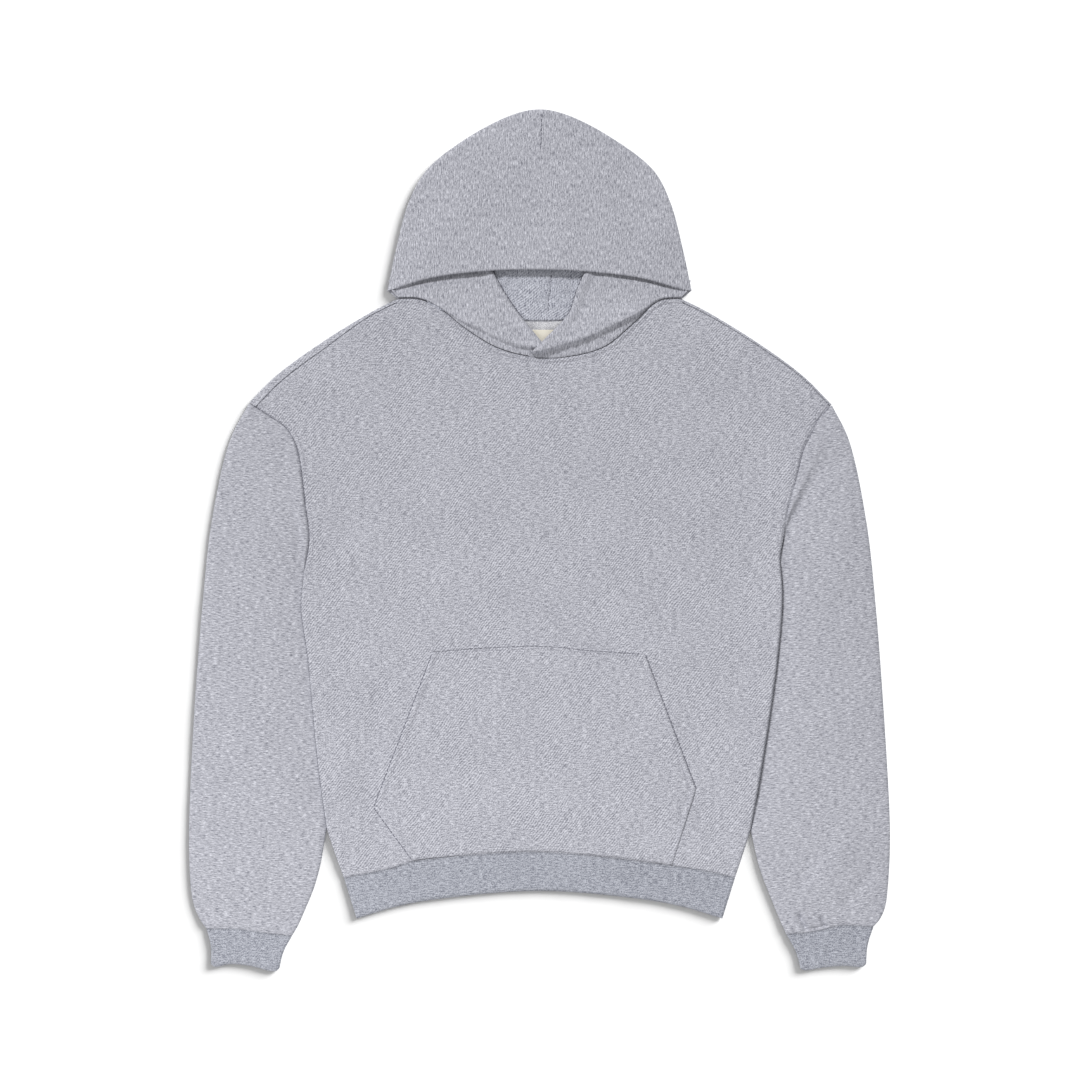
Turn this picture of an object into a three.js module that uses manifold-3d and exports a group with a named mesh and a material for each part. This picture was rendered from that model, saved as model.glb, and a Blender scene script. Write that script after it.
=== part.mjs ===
// A pullover hoodie laid flat on its back, front up.
// Millimetres. X runs to the viewer's right, Y from the hem to the hood, Z up from the surface.
// The underside is the plane Z = 0, and the origin is the middle of the outline.
import * as THREE from 'three';
import { mergeVertices } from 'three/addons/utils/BufferGeometryUtils.js';
import Module from 'manifold-3d';

const wasm = await Module();
wasm.setup();

// Driving sizes
const cloth = 2.0;
const ribCloth = 2.3;
const thinCloth = 1.0;
const seamGap = 0.3;
const layer = cloth + seamGap;
const frontLow = layer;
const lipLow = 2 * layer;
const domeLow = 3 * layer;
const domeTop = domeLow + cloth;
const bodyLoft = 1.2;
const sleeveLoft = 2.2;
const hoodLoft = 1.2;
const shoulderFold = 2.4;
const tapeWidth = 9;
const tapeBelow = 3;
const tapeReach = 1 / 6;
const liningReach = 1 / 3;
const labelSize = { width: 44, height: 16 };

// Seams and edges of the garment, each read from left to right or from the hem up
const hemSeam = [
  { x: -215, y: -371 }, { x: -165, y: -361 }, { x: -139, y: -353 }, { x: -59, y: -345 }, { x: 0, y: -343 },
  { x: 67, y: -348 }, { x: 146, y: -358 }, { x: 180, y: -363 }, { x: 215, y: -371 },
];
const hemEdge = [
  { x: -201, y: -416 }, { x: -154, y: -402 }, { x: -110, y: -394 }, { x: 0, y: -385 }, { x: 110, y: -394 },
  { x: 154, y: -402 }, { x: 201, y: -416 },
];
const hemSide = {
  left: [{ x: -215, y: -371 }, { x: -225, y: -344 }, { x: -234, y: -317 }],
  right: [{ x: 215, y: -371 }, { x: 224, y: -344 }, { x: 232, y: -319 }],
};
const sideFold = {
  left: [
    { x: -234, y: -317 }, { x: -244, y: -242 }, { x: -255, y: -128 }, { x: -262, y: -74 },
    { x: -259, y: -36 },
  ],
  right: [
    { x: 232, y: -319 }, { x: 242, y: -264 }, { x: 262, y: -128 }, { x: 267, y: -60 }, { x: 264, y: -20 },
  ],
};
const armhole = {
  left: [
    { x: -259, y: -36 }, { x: -253, y: 1 }, { x: -257, y: 36 }, { x: -267, y: 102 }, { x: -278, y: 123 },
    { x: -296, y: 136 }, { x: -319, y: 151 },
  ],
  right: [
    { x: 264, y: -20 }, { x: 272, y: 30 }, { x: 282, y: 68 }, { x: 290, y: 100 }, { x: 297, y: 114 },
    { x: 306, y: 132 }, { x: 321, y: 149 },
  ],
};
const shoulder = {
  left: [
    { x: -319, y: 151 }, { x: -290, y: 180 }, { x: -241, y: 216 }, { x: -184, y: 251 },
    { x: -156, y: 265 },
  ],
  right: [{ x: 156, y: 265 }, { x: 184, y: 251 }, { x: 241, y: 216 }, { x: 290, y: 180 }, { x: 321, y: 149 }],
};
const backNeck = [
  { x: -156, y: 265 }, { x: -120, y: 251 }, { x: -60, y: 238 }, { x: 0, y: 234 }, { x: 60, y: 238 },
  { x: 120, y: 251 }, { x: 156, y: 265 },
];
const frontNeck = [
  { x: -156, y: 265 }, { x: -132, y: 264 }, { x: -110, y: 254 }, { x: -79, y: 230 }, { x: -42, y: 209 },
  { x: 0, y: 200 }, { x: 32, y: 201 }, { x: 72, y: 212 }, { x: 103, y: 237 }, { x: 131, y: 262 },
  { x: 156, y: 265 },
];
const sleeveOuter = {
  left: [
    { x: -366, y: -427 }, { x: -381, y: -396 }, { x: -385, y: -308 }, { x: -380, y: -198 },
    { x: -370, y: -66 },
    { x: -360, y: 22 }, { x: -340, y: 110 }, { x: -319, y: 151 },
  ],
  right: [
    { x: 367, y: -425 }, { x: 380, y: -396 }, { x: 385, y: -308 }, { x: 379, y: -198 }, { x: 369, y: -66 },
    { x: 359, y: 22 }, { x: 340, y: 110 }, { x: 321, y: 149 },
  ],
};
const sleeveInner = {
  left: [{ x: -272, y: -435 }, { x: -254, y: -396 }, { x: -242, y: -352 }, { x: -234, y: -317 }],
  right: [{ x: 271, y: -433 }, { x: 253, y: -396 }, { x: 241, y: -352 }, { x: 232, y: -319 }],
};
const cuffSeam = {
  left: [{ x: -366, y: -427 }, { x: -334, y: -427 }, { x: -298, y: -432 }, { x: -272, y: -435 }],
  right: [{ x: 271, y: -433 }, { x: 300, y: -430 }, { x: 334, y: -423 }, { x: 367, y: -425 }],
};
const cuffEdge = {
  left: [{ x: -361, y: -469 }, { x: -340, y: -466 }, { x: -318, y: -468 }, { x: -286, y: -474 }],
  right: [{ x: 287, y: -473 }, { x: 311, y: -470 }, { x: 334, y: -468 }, { x: 359, y: -469 }],
};
const hoodOutline = [
  { x: -167, y: 274 }, { x: -158, y: 317 }, { x: -144, y: 370 }, { x: -125, y: 405 }, { x: -82, y: 440 },
  { x: -30, y: 467 }, { x: 0, y: 473 }, { x: 30, y: 467 }, { x: 82, y: 440 }, { x: 126, y: 405 },
  { x: 144, y: 370 }, { x: 158, y: 317 }, { x: 167, y: 274 },
];
const mouthEdge = [
  { x: -157, y: 276 }, { x: -132, y: 284 }, { x: -103, y: 290 }, { x: -51, y: 295 }, { x: 0, y: 296 },
  { x: 51, y: 294 }, { x: 111, y: 287 }, { x: 142, y: 279 }, { x: 157, y: 275 },
];
// The lips of the mouth: the share of the neck seam that each takes, and its edges from that seam up
const lip = {
  left: {
    seam: { from: 0, to: 0.54 },
    outer: [{ x: -156, y: 267 }, { x: -163, y: 275 }, { x: -166, y: 285 }],
    hidden: [{ x: -166, y: 285 }, { x: -130, y: 297 }, { x: -90, y: 305 }, { x: -56, y: 306 }],
    opening: [
      { x: 14, y: 201 }, { x: 2, y: 218 }, { x: -26, y: 253 }, { x: -44, y: 281 }, { x: -56, y: 306 },
    ],
  },
  right: {
    seam: { from: 0.46, to: 1 },
    opening: [
      { x: -13, y: 202 }, { x: 7, y: 222 }, { x: 25, y: 240 }, { x: 33, y: 250 }, { x: 41, y: 274 },
      { x: 55, y: 305 },
    ],
    hidden: [{ x: 55, y: 305 }, { x: 90, y: 304 }, { x: 130, y: 296 }, { x: 166, y: 285 }],
    outer: [{ x: 156, y: 267 }, { x: 163, y: 275 }, { x: 166, y: 285 }],
  },
};
const pocketEdge = {
  bottom: [
    { x: -140, y: -351 }, { x: -59, y: -343 }, { x: 0, y: -341 }, { x: 67, y: -346 },
    { x: 146, y: -356 },
  ],
  top: [
    { x: -118, y: -123 }, { x: -60, y: -119 }, { x: 0, y: -117 }, { x: 60, y: -122 },
    { x: 116, y: -126 },
  ],
  left: [
    { x: -140, y: -351 }, { x: -183, y: -294 }, { x: -161, y: -230 }, { x: -137, y: -164 },
    { x: -118, y: -123 },
  ],
  right: [
    { x: 146, y: -356 }, { x: 172, y: -274 }, { x: 155, y: -230 }, { x: 133, y: -172 },
    { x: 116, y: -126 },
  ],
};

// How many straight steps each seam takes, the same on both of its pieces
const stepsOf = {
  hem: 24, shoulder: 6, neck: 12, hemSide: 2, sideFold: 10, armhole: 8, freeSleeve: 5, cuff: 8,
};
const ribRows = 3;
// How far up its two long edges a sleeve reaches before its tip is cut off square
const sleeveTip = { hole: 0.981, outer: 0.993 };
// Visible depth of the back panel's turn over the shoulder, by share of the way from tip to neck
const shoulderTurn = {
  left: [
    { share: 0, depth: 8 }, { share: 0.5, depth: 7 }, { share: 0.8, depth: 2.4 }, { share: 1, depth: 2.4 },
  ],
  right: [{ share: 0, depth: 3 }, { share: 0.5, depth: 3 }, { share: 1, depth: 2.4 }],
};
// Depth of the low strip between the neck seam and the fold of the hood's lips, by share of the seam
const neckStand = [
  { share: 0, depth: 2 }, { share: 0.3, depth: 3 }, { share: 0.5, depth: 8 }, { share: 0.8, depth: 10 },
  { share: 1, depth: 6 },
];
// The largest folds: a ridge from one point to another, with its height and its reach to each side
const frontFolds = [
  { x1: -240, y1: -40, x2: -150, y2: 30, height: 1.4, wide: 16, steep: 11 },
  { x1: 240, y1: -20, x2: 160, y2: 50, height: 1.6, wide: 11, steep: 18 },
  { x1: -70, y1: 150, x2: -20, y2: 60, height: 0.8, wide: 22, steep: 18 },
  { x1: 190, y1: -150, x2: 215, y2: -290, height: 1.2, wide: 14, steep: 16 },
  { x1: -205, y1: -190, x2: -222, y2: -300, height: 1.1, wide: 14, steep: 14 },
];
const sleeveFolds = {
  left: [
    { x1: -273, y1: 96, x2: -263, y2: -40, height: 2.6, wide: 11, steep: 9 },
    { x1: -330, y1: 40, x2: -300, y2: -90, height: 1.2, wide: 16, steep: 20 },
    { x1: -350, y1: -230, x2: -280, y2: -200, height: 1.4, wide: 14, steep: 18 },
    { x1: -352, y1: -330, x2: -300, y2: -385, height: 1.3, wide: 13, steep: 15 },
  ],
  right: [
    { x1: 304, y1: 108, x2: 268, y2: -20, height: 3.2, wide: 10, steep: 9 },
    { x1: 340, y1: 60, x2: 310, y2: -60, height: 1.3, wide: 18, steep: 15 },
    { x1: 280, y1: -190, x2: 352, y2: -232, height: 1.4, wide: 18, steep: 14 },
    { x1: 300, y1: -370, x2: 350, y2: -318, height: 1.5, wide: 13, steep: 16 },
  ],
};

const shades = {
  fleece: '#b8b8c0', rib: '#a9abb5', lining: '#afb1bb', tape: '#dcdad8', label: '#e1dccd',
};

// Small helpers on numbers and points
const mix = (a, b, t) => a + (b - a) * t;
const smooth = (low, high, value) => THREE.MathUtils.smoothstep(value, low, high);
const mixPoints = (a, b, t) => ({ x: mix(a.x, b.x, t), y: mix(a.y, b.y, t) });
const apart = (a, b) => Math.hypot(b.x - a.x, b.y - a.y);
const steps = (count, from = 0, to = 1) => (
  Array.from({ length: count + 1 }, (_, i) => mix(from, to, i / count))
);

function valueAt(rows, place, column) {
  const share = THREE.MathUtils.clamp(place, 0, 1);
  const next = Math.max(1, rows.findIndex((row) => row.share >= share));
  const a = rows[next - 1];
  const b = rows[next];
  return mix(a[column], b[column], (share - a.share) / (b.share - a.share));
}

// A smooth line through a table's points, read by share of its length, in equal straight steps if asked
function line(rows, count = 0) {
  const points = rows.map((row) => new THREE.Vector3(row.x, row.y, 0));
  const curve = new THREE.CatmullRomCurve3(points, false, 'centripetal');
  const smoothLine = (share) => {
    const point = curve.getPointAt(THREE.MathUtils.clamp(share, 0, 1));
    return { x: point.x, y: point.y };
  };
  if (count === 0) {
    return smoothLine;
  }
  const stops = steps(count).map(smoothLine);
  return (share) => {
    const place = THREE.MathUtils.clamp(share, 0, 1) * count;
    const start = Math.min(count - 1, Math.floor(place + 1e-9));
    return mixPoints(stops[start], stops[start + 1], place - start);
  };
}

// Lines end to end, each taking its own share of the whole
function joined(...runs) {
  return (share) => {
    let start = 0;
    for (const run of runs) {
      if (share <= start + run.part + 1e-9 || run === runs.at(-1)) {
        return run.line((share - start) / run.part);
      }
      start += run.part;
    }
    return null;
  };
}

// Unit vector across a line, to the left of its direction
function across(path, share) {
  const reach = 0.01;
  const a = path(Math.max(0, share - reach));
  const b = path(Math.min(1, share + reach));
  const length = apart(a, b);
  return { x: -(b.y - a.y) / length, y: (b.x - a.x) / length };
}

// A line moved to its left by a distance, which may change along it
function moved(path, distance) {
  return (share) => {
    const point = path(share);
    const normal = across(path, share);
    const by = typeof distance === 'function' ? distance(share) : distance;
    return { x: point.x + normal.x * by, y: point.y + normal.y * by };
  };
}

// A flat patch filled in between four edge lines
function patch({ bottom, top, left, right }) {
  const corners = { a: bottom(0), b: bottom(1), c: top(0), d: top(1) };
  const blend = (axis, u, v) => {
    const rows = mix(bottom(u)[axis], top(u)[axis], v);
    const columns = mix(left(v)[axis], right(v)[axis], u);
    const low = mix(corners.a[axis], corners.b[axis], u);
    const high = mix(corners.c[axis], corners.d[axis], u);
    return rows + columns - mix(low, high, v);
  };
  return (u, v) => ({ x: blend('x', u, v), y: blend('y', u, v) });
}

// Height that the folds of a table add at a point
function foldHeight(folds, { x, y }) {
  let height = 0;
  for (const fold of folds) {
    const dx = fold.x2 - fold.x1;
    const dy = fold.y2 - fold.y1;
    const length = Math.hypot(dx, dy);
    const along = ((x - fold.x1) * dx + (y - fold.y1) * dy) / length ** 2;
    const side = ((x - fold.x1) * dy - (y - fold.y1) * dx) / length;
    const reach = side < 0 ? fold.wide : fold.steep;
    const fade = smooth(-0.25, 0.35, along) * (1 - smooth(0.65, 1.25, along));
    height += fold.height * fade * Math.exp(-((side / reach) ** 2));
  }
  return height;
}

// A closed wall between two grids of points, which a ring also closes from its last column to its first
function wall(outer, inner, ring = false) {
  const rows = outer.length;
  const columns = outer[0].length;
  const positions = [...outer.flat(), ...inner.flat()].flatMap((p) => [p.x, p.y, p.z]);
  const faces = [];
  const quad = (a, b, c, d) => faces.push(a, b, c, a, c, d);
  const out = (i, j) => i * columns + (j % columns);
  const into = (i, j) => rows * columns + out(i, j);
  const lastColumn = ring ? columns : columns - 1;
  for (let i = 0; i < rows - 1; i += 1) {
    for (let j = 0; j < lastColumn; j += 1) {
      quad(out(i, j), out(i, j + 1), out(i + 1, j + 1), out(i + 1, j));
      quad(into(i, j), into(i + 1, j), into(i + 1, j + 1), into(i, j + 1));
    }
  }
  for (let j = 0; j < lastColumn; j += 1) {
    quad(into(0, j), into(0, j + 1), out(0, j + 1), out(0, j));
    quad(out(rows - 1, j), out(rows - 1, j + 1), into(rows - 1, j + 1), into(rows - 1, j));
  }
  if (!ring) {
    for (let i = 0; i < rows - 1; i += 1) {
      quad(out(i, 0), out(i + 1, 0), into(i + 1, 0), into(i, 0));
      quad(into(i, columns - 1), into(i + 1, columns - 1), out(i + 1, columns - 1), out(i, columns - 1));
    }
  }
  return outward(positions, faces);
}

// A geometry whose faces point out
function outward(positions, faces) {
  const corner = (index) => new THREE.Vector3().fromArray(positions, index * 3);
  let volume = 0;
  for (let i = 0; i < faces.length; i += 3) {
    volume += corner(faces[i]).dot(corner(faces[i + 1]).cross(corner(faces[i + 2])));
  }
  if (volume < 0) {
    faces.reverse();
  }
  const geometry = new THREE.BufferGeometry();
  geometry.setAttribute('position', new THREE.Float32BufferAttribute(positions, 3));
  geometry.setIndex(faces);
  return geometry;
}

// Shares across a patch, with two more close to each side edge for its rounding
const edgeRounding = [{ inset: 0, depth: 0.3 }, { inset: 0.0013, depth: 0.72 }, { inset: 0.0045, depth: 1 }];
function roundedShares(count) {
  const near = edgeRounding.map((row) => ({ share: row.inset, depth: row.depth }));
  const middle = steps(count).slice(1, -1).map((share) => ({ share, depth: 1 }));
  const far = near.map((row) => ({ share: 1 - row.share, depth: row.depth })).reverse();
  return [...near, ...middle, ...far];
}

// A sheet over a patch: its lower face follows low(point), and its upper face is a thickness above
function sheet(plan, rows, columns, low, thickness = cloth, rounded = false) {
  const shares = rounded ? roundedShares(columns) : steps(columns).map((share) => ({ share, depth: 1 }));
  const grid = (rise) => steps(rows).map((v) => shares.map(({ share, depth }) => {
    const point = plan(share, v);
    return { ...point, z: low(point, share, v) + rise * thickness * depth };
  }));
  return wall(grid(1), grid(0));
}

// One row of a folded wall: points on its upper and lower faces, and round the fold at either edge
const foldTurns = [50, 0, -50].map(THREE.MathUtils.degToRad);
function foldedRow(plan, v, radius, wallRadius, lift) {
  const inset = radius / apart(plan(0, v), plan(1, v));
  const face = (share, sign) => {
    const point = plan(share, v);
    const rise = sign > 0 ? lift(point, share, v) : 0;
    return { ...point, z: radius + sign * wallRadius + rise };
  };
  const turn = (edge, angle) => {
    const centre = plan(edge ? 1 - inset : inset, v);
    const tip = plan(edge, v);
    const reach = (wallRadius * Math.cos(angle)) / apart(centre, tip);
    return { ...mixPoints(centre, tip, reach), z: radius + wallRadius * Math.sin(angle) };
  };
  return { inset, face, turn };
}

// A flattened tube over a patch, open at both ends, with half-round folds at its sides
function flatTube(plan, rows, columns, thickness) {
  const radius = thickness + seamGap / 2;
  const ringAt = (v, wallRadius) => {
    const { inset, face, turn } = foldedRow(plan, v, radius, wallRadius, () => 0);
    const shares = [inset, ...steps(columns).slice(1, -1), 1 - inset];
    return [
      ...shares.map((share) => face(share, 1)),
      ...foldTurns.map((angle) => turn(1, angle)),
      ...shares.toReversed().map((share) => face(share, -1)),
      ...foldTurns.toReversed().map((angle) => turn(0, angle)),
    ];
  };
  const grid = (wallRadius) => steps(rows).map((v) => ringAt(v, wallRadius));
  return wall(grid(radius), grid(radius - thickness), true);
}

// A sheet folded in two over a patch: the fold is along its left edge and both free edges along its right
function foldedSheet(plan, rows, columns, thickness, lift) {
  const radius = thickness + seamGap / 2;
  const rowAt = (v, wallRadius) => {
    const { inset, face, turn } = foldedRow(plan, v, radius, wallRadius, lift);
    const clearOfFold = (share) => Math.max(share, mix(inset, 1, share ** 2));
    const shares = [inset, ...steps(columns).slice(1).map(clearOfFold)];
    return [
      ...shares.toReversed().map((share) => face(share, 1)),
      ...foldTurns.map((angle) => turn(0, angle)),
      ...shares.map((share) => face(share, -1)),
    ];
  };
  const grid = (wallRadius) => steps(rows).map((v) => rowAt(v, wallRadius));
  return wall(grid(radius), grid(radius - thickness));
}

// One solid made of several that overlap
function fused(...geometries) {
  const solids = geometries.map((geometry) => {
    const bare = geometry.clone();
    const merged = mergeVertices(bare);
    return new wasm.Manifold(new wasm.Mesh({
      numProp: 3,
      vertProperties: merged.getAttribute('position').array,
      triVerts: new Uint32Array(merged.getIndex().array),
    }));
  });
  const mesh = solids.reduce((a, b) => a.add(b)).getMesh();
  return outward(Array.from(mesh.vertProperties), Array.from(mesh.triVerts));
}

// Height of the front panel's lower face: the loft of the cloth and its largest folds
function frontHeight(point) {
  const wide = Math.max(0, 1 - (point.x / 255) ** 2);
  const long = smooth(-365, -290, point.y) * (1 - smooth(110, 230, point.y));
  return frontLow + bodyLoft * wide * long + foldHeight(frontFolds, point);
}

// The body's edge up one side, half a seam's gap inside: hem side, side fold and armhole
const bodyRows = stepsOf.hemSide + stepsOf.sideFold + stepsOf.armhole;
const bodyColumns = stepsOf.hem;
function bodySide(side, shortBy = 0) {
  const halfGap = side === 'left' ? -seamGap / 2 : seamGap / 2;
  const hole = moved(line(armhole[side], stepsOf.armhole), halfGap);
  const last = 1 - 1 / stepsOf.armhole;
  const end = 1 - (shortBy / apart(hole(last), hole(1))) / stepsOf.armhole;
  return joined(
    { line: moved(line(hemSide[side], stepsOf.hemSide), halfGap), part: stepsOf.hemSide / bodyRows },
    { line: moved(line(sideFold[side], stepsOf.sideFold), halfGap), part: stepsOf.sideFold / bodyRows },
    { line: (share) => hole(Math.min(share, end)), part: stepsOf.armhole / bodyRows },
  );
}

// The shoulder edge moved in by a depth: square to the edge, but along the armhole at its tip
function shoulderEdge(side, depthAt) {
  const edge = line(shoulder[side], stepsOf.shoulder);
  const hole = line(armhole[side], stepsOf.armhole);
  const tip = hole(1);
  const below = hole(1 - 1 / stepsOf.armhole);
  const holeLength = apart(tip, below);
  return (share) => {
    const fromTip = side === 'left' ? share : 1 - share;
    const out = across(edge, share);
    const along = smooth(0, 1 / stepsOf.shoulder, fromTip);
    const x = mix((below.x - tip.x) / holeLength, -out.x, along);
    const y = mix((below.y - tip.y) / holeLength, -out.y, along);
    const length = Math.hypot(x, y);
    const point = edge(share);
    const depth = depthAt(side, fromTip);
    return { x: point.x + (x / length) * depth, y: point.y + (y / length) * depth };
  };
}

// The body's top edge from shoulder tip to shoulder tip, round a neck line
function bodyTop(neck, depthAt) {
  return joined(
    { line: shoulderEdge('left', depthAt), part: stepsOf.shoulder / bodyColumns },
    { line: neck, part: stepsOf.neck / bodyColumns },
    { line: shoulderEdge('right', depthAt), part: stepsOf.shoulder / bodyColumns },
  );
}

const hemLine = line(hemSeam, stepsOf.hem);
const frontNeckLine = line(frontNeck, stepsOf.neck);
const backNeckLine = line(backNeck, stepsOf.neck);
const turnDepth = (side, fromTip) => valueAt(shoulderTurn[side], fromTip, 'depth');

function frontPanel() {
  const depthAt = (side, fromTip) => turnDepth(side, fromTip) + seamGap;
  const plan = patch({
    bottom: moved(hemLine, seamGap / 2),
    top: bodyTop(moved(frontNeckLine, -seamGap / 2), depthAt),
    left: bodySide('left', depthAt('left', 0)),
    right: bodySide('right', depthAt('right', 0)),
  });
  return sheet(plan, bodyRows, bodyColumns, frontHeight, cloth, true);
}

// The back panel lies flat and turns up over each shoulder as far as the shoulder seam
function backPanel() {
  const neck = (inset) => moved(backNeckLine, -seamGap / 2 - inset);
  const plan = patch({
    bottom: moved(hemLine, seamGap / 2),
    top: bodyTop(neck(0), () => 0),
    left: bodySide('left'),
    right: bodySide('right'),
  });
  const shares = roundedShares(bodyColumns);
  const turnEnd = (stepsOf.shoulder - 0.5) / bodyColumns;
  const isTurned = (share) => share < turnEnd || share > 1 - turnEnd;
  const turnRadius = cloth + seamGap / 2;
  const lastFlatRow = bodyRows - 1;
  const flatRows = (isOuter) => steps(bodyRows).slice(0, lastFlatRow + 1).map((v) => (
    shares.map(({ share, depth }) => ({ ...plan(share, v), z: isOuter ? cloth * (1 - depth) : cloth }))
  ));
  // Each row of the turn: over the shoulders round its bend, and along the neck round the cut edge
  const turnRows = (isOuter) => steps(4, 0, Math.PI).map((angle) => {
    const bend = isOuter ? turnRadius : seamGap / 2;
    const rim = (cloth / 2) * 0.95;
    const shoulderInset = turnRadius - bend * Math.sin(angle);
    const neckInset = rim * (1 - Math.sin(angle / 2));
    const top = bodyTop(neck(neckInset), () => shoulderInset);
    const rimRise = rim * (1 - Math.cos(angle / 2));
    return shares.map(({ share }) => {
      const z = isTurned(share) ? turnRadius - bend * Math.cos(angle) : (isOuter ? rimRise : cloth - rimRise);
      return { ...top(share), z };
    });
  });
  const endRow = (isOuter) => {
    const rimEdge = (cloth / 2) * 0.98;
    const top = bodyTop(neck(0), (side, fromTip) => Math.max(turnDepth(side, fromTip), shoulderFold));
    return shares.map(({ share }) => {
      const turnedHeight = isOuter ? 2 * turnRadius : layer;
      return { ...top(share), z: isTurned(share) ? turnedHeight : (isOuter ? rimEdge : cloth - rimEdge) };
    });
  };
  const grid = (isOuter) => [...flatRows(isOuter), ...turnRows(isOuter), endRow(isOuter)];
  return wall(grid(true), grid(false));
}

// A sleeve is one sheet folded along its outer edge, with its free edges along the underarm and armhole
function sleeve(side) {
  const isLeft = side === 'left';
  const rows = stepsOf.freeSleeve + stepsOf.sideFold + stepsOf.armhole;
  const halfGap = isLeft ? seamGap / 2 : -seamGap / 2;
  const hole = moved(line(armhole[side], stepsOf.armhole), halfGap);
  const wholeOuter = line(sleeveOuter[side]);
  const inner = joined(
    { line: moved(line(sleeveInner[side], stepsOf.freeSleeve), halfGap), part: stepsOf.freeSleeve / rows },
    { line: moved(line(sideFold[side], stepsOf.sideFold), halfGap), part: stepsOf.sideFold / rows },
    { line: (share) => hole(Math.min(share, sleeveTip.hole)), part: stepsOf.armhole / rows },
  );
  const outer = (share) => wholeOuter(share * sleeveTip.outer);
  const cuffLine = moved(line(cuffSeam[side], stepsOf.cuff), seamGap / 2);
  const plan = patch({
    bottom: isLeft ? cuffLine : (share) => cuffLine(1 - share),
    top: (share) => mixPoints(outer(1), inner(1), share),
    left: outer,
    right: inner,
  });
  const lift = (point, share, v) => {
    const atMiddle = Math.sin(Math.PI * share);
    const loft = sleeveLoft * atMiddle ** 0.8 * smooth(0, 0.12, v) * (1 - smooth(0.6, 0.9, v));
    return loft + foldHeight(sleeveFolds[side], point) * atMiddle ** 0.3;
  };
  return foldedSheet(plan, rows, stepsOf.cuff, cloth, lift);
}

// A folded band of rib below a seam, down to its own edge
function ribBand(seam, edge, columns) {
  const plan = patch({
    bottom: edge,
    top: moved(seam, -seamGap / 2),
    left: (v) => mixPoints(edge(0), seam(0), v),
    right: (v) => mixPoints(edge(1), seam(1), v),
  });
  return flatTube(plan, ribRows, columns, ribCloth);
}

function cuff(side) {
  return ribBand(line(cuffSeam[side], stepsOf.cuff), line(cuffEdge[side]), stepsOf.cuff);
}

function hemRib() {
  return ribBand(hemLine, line(hemEdge), stepsOf.hem);
}

function pocket() {
  const plan = patch({
    bottom: line(pocketEdge.bottom),
    top: line(pocketEdge.top),
    left: joined(
      { line: line(pocketEdge.left.slice(0, 2)), part: 0.3 },
      { line: line(pocketEdge.left.slice(1)), part: 0.7 },
    ),
    right: joined(
      { line: line(pocketEdge.right.slice(0, 2)), part: 0.3 },
      { line: line(pocketEdge.right.slice(1)), part: 0.7 },
    ),
  });
  return sheet(plan, 10, 12, (point) => frontHeight(point) + layer);
}

// The hood from the back neck up to its outline, over and down to its mouth
function hoodBag() {
  const neck = moved(backNeckLine, seamGap / 2);
  const outline = line(hoodOutline);
  const mouth = line(mouthEdge);
  const radius = domeTop / 2;
  const centre = moved(outline, -radius);
  const shares = steps(2 * stepsOf.neck);
  const turnAngles = steps(4, -90, 90).map(THREE.MathUtils.degToRad);
  const grid = (isOuter) => {
    const wallRadius = isOuter ? radius : radius - cloth;
    const back = steps(5).slice(0, -1).map((v) => shares.map((u) => (
      { ...mixPoints(neck(u), centre(u), v), z: isOuter ? 0 : cloth }
    )));
    const fold = turnAngles.map((angle) => shares.map((u) => {
      const point = mixPoints(centre(u), outline(u), (wallRadius * Math.cos(angle)) / radius);
      return { ...point, z: radius + wallRadius * Math.sin(angle) };
    }));
    const dome = steps(7).slice(1).map((v) => shares.map((u) => {
      const loft = hoodLoft * Math.sin(Math.PI * Math.min(1, v * 1.2) ** 0.6) * Math.sin(Math.PI * u);
      return { ...mixPoints(centre(u), mouth(u), v), z: loft + (isOuter ? domeTop : domeLow) };
    }));
    return [...back, ...fold, ...dome];
  };
  return wall(grid(true), grid(false));
}

// A lip of the hood's mouth: low along the neck seam, then up over it on the layers below
function hoodLip(side) {
  const edges = lip[side];
  const isLeft = side === 'left';
  const seam = moved(frontNeckLine, seamGap / 2);
  const plan = patch({
    bottom: (u) => seam(mix(edges.seam.from, edges.seam.to, u)),
    top: line(edges.hidden),
    left: line(isLeft ? edges.outer : edges.opening),
    right: line(isLeft ? edges.opening : edges.outer),
  });
  const low = (u, v) => {
    const share = isLeft ? u : 1 - u;
    const depth = valueAt(neckStand, share, 'depth');
    const distance = v * apart(plan(u, 0), plan(u, 1));
    const rise = (lipLow - frontLow) * smooth(depth - 2, depth + 3, distance);
    const over = isLeft ? 0 : layer * smooth(0.6, 0.76, share);
    return frontLow + rise + over;
  };
  const isOnSeam = (share) => share > edges.seam.from && share < edges.seam.to;
  const seamShares = steps(2 * stepsOf.neck).filter(isOnSeam);
  const columns = [edges.seam.from, ...seamShares, edges.seam.to]
    .map((share) => (share - edges.seam.from) / (edges.seam.to - edges.seam.from));
  const rows = [0, 0.03, 0.07, 0.11, 0.16, 0.3, 0.5, 0.75, 1];
  const grid = (rise) => rows.map((v) => columns.map((u) => ({ ...plan(u, v), z: low(u, v) + rise })));
  return wall(grid(cloth), grid(0));
}

function hood() {
  return fused(hoodBag(), hoodLip('left'), hoodLip('right'));
}

// A line along the back neck seam, over part of it on each side of the middle
function neckRun(reach, distance) {
  const run = moved(backNeckLine, distance);
  return (u) => run(mix(0.5 - reach, 0.5 + reach, u));
}

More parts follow.
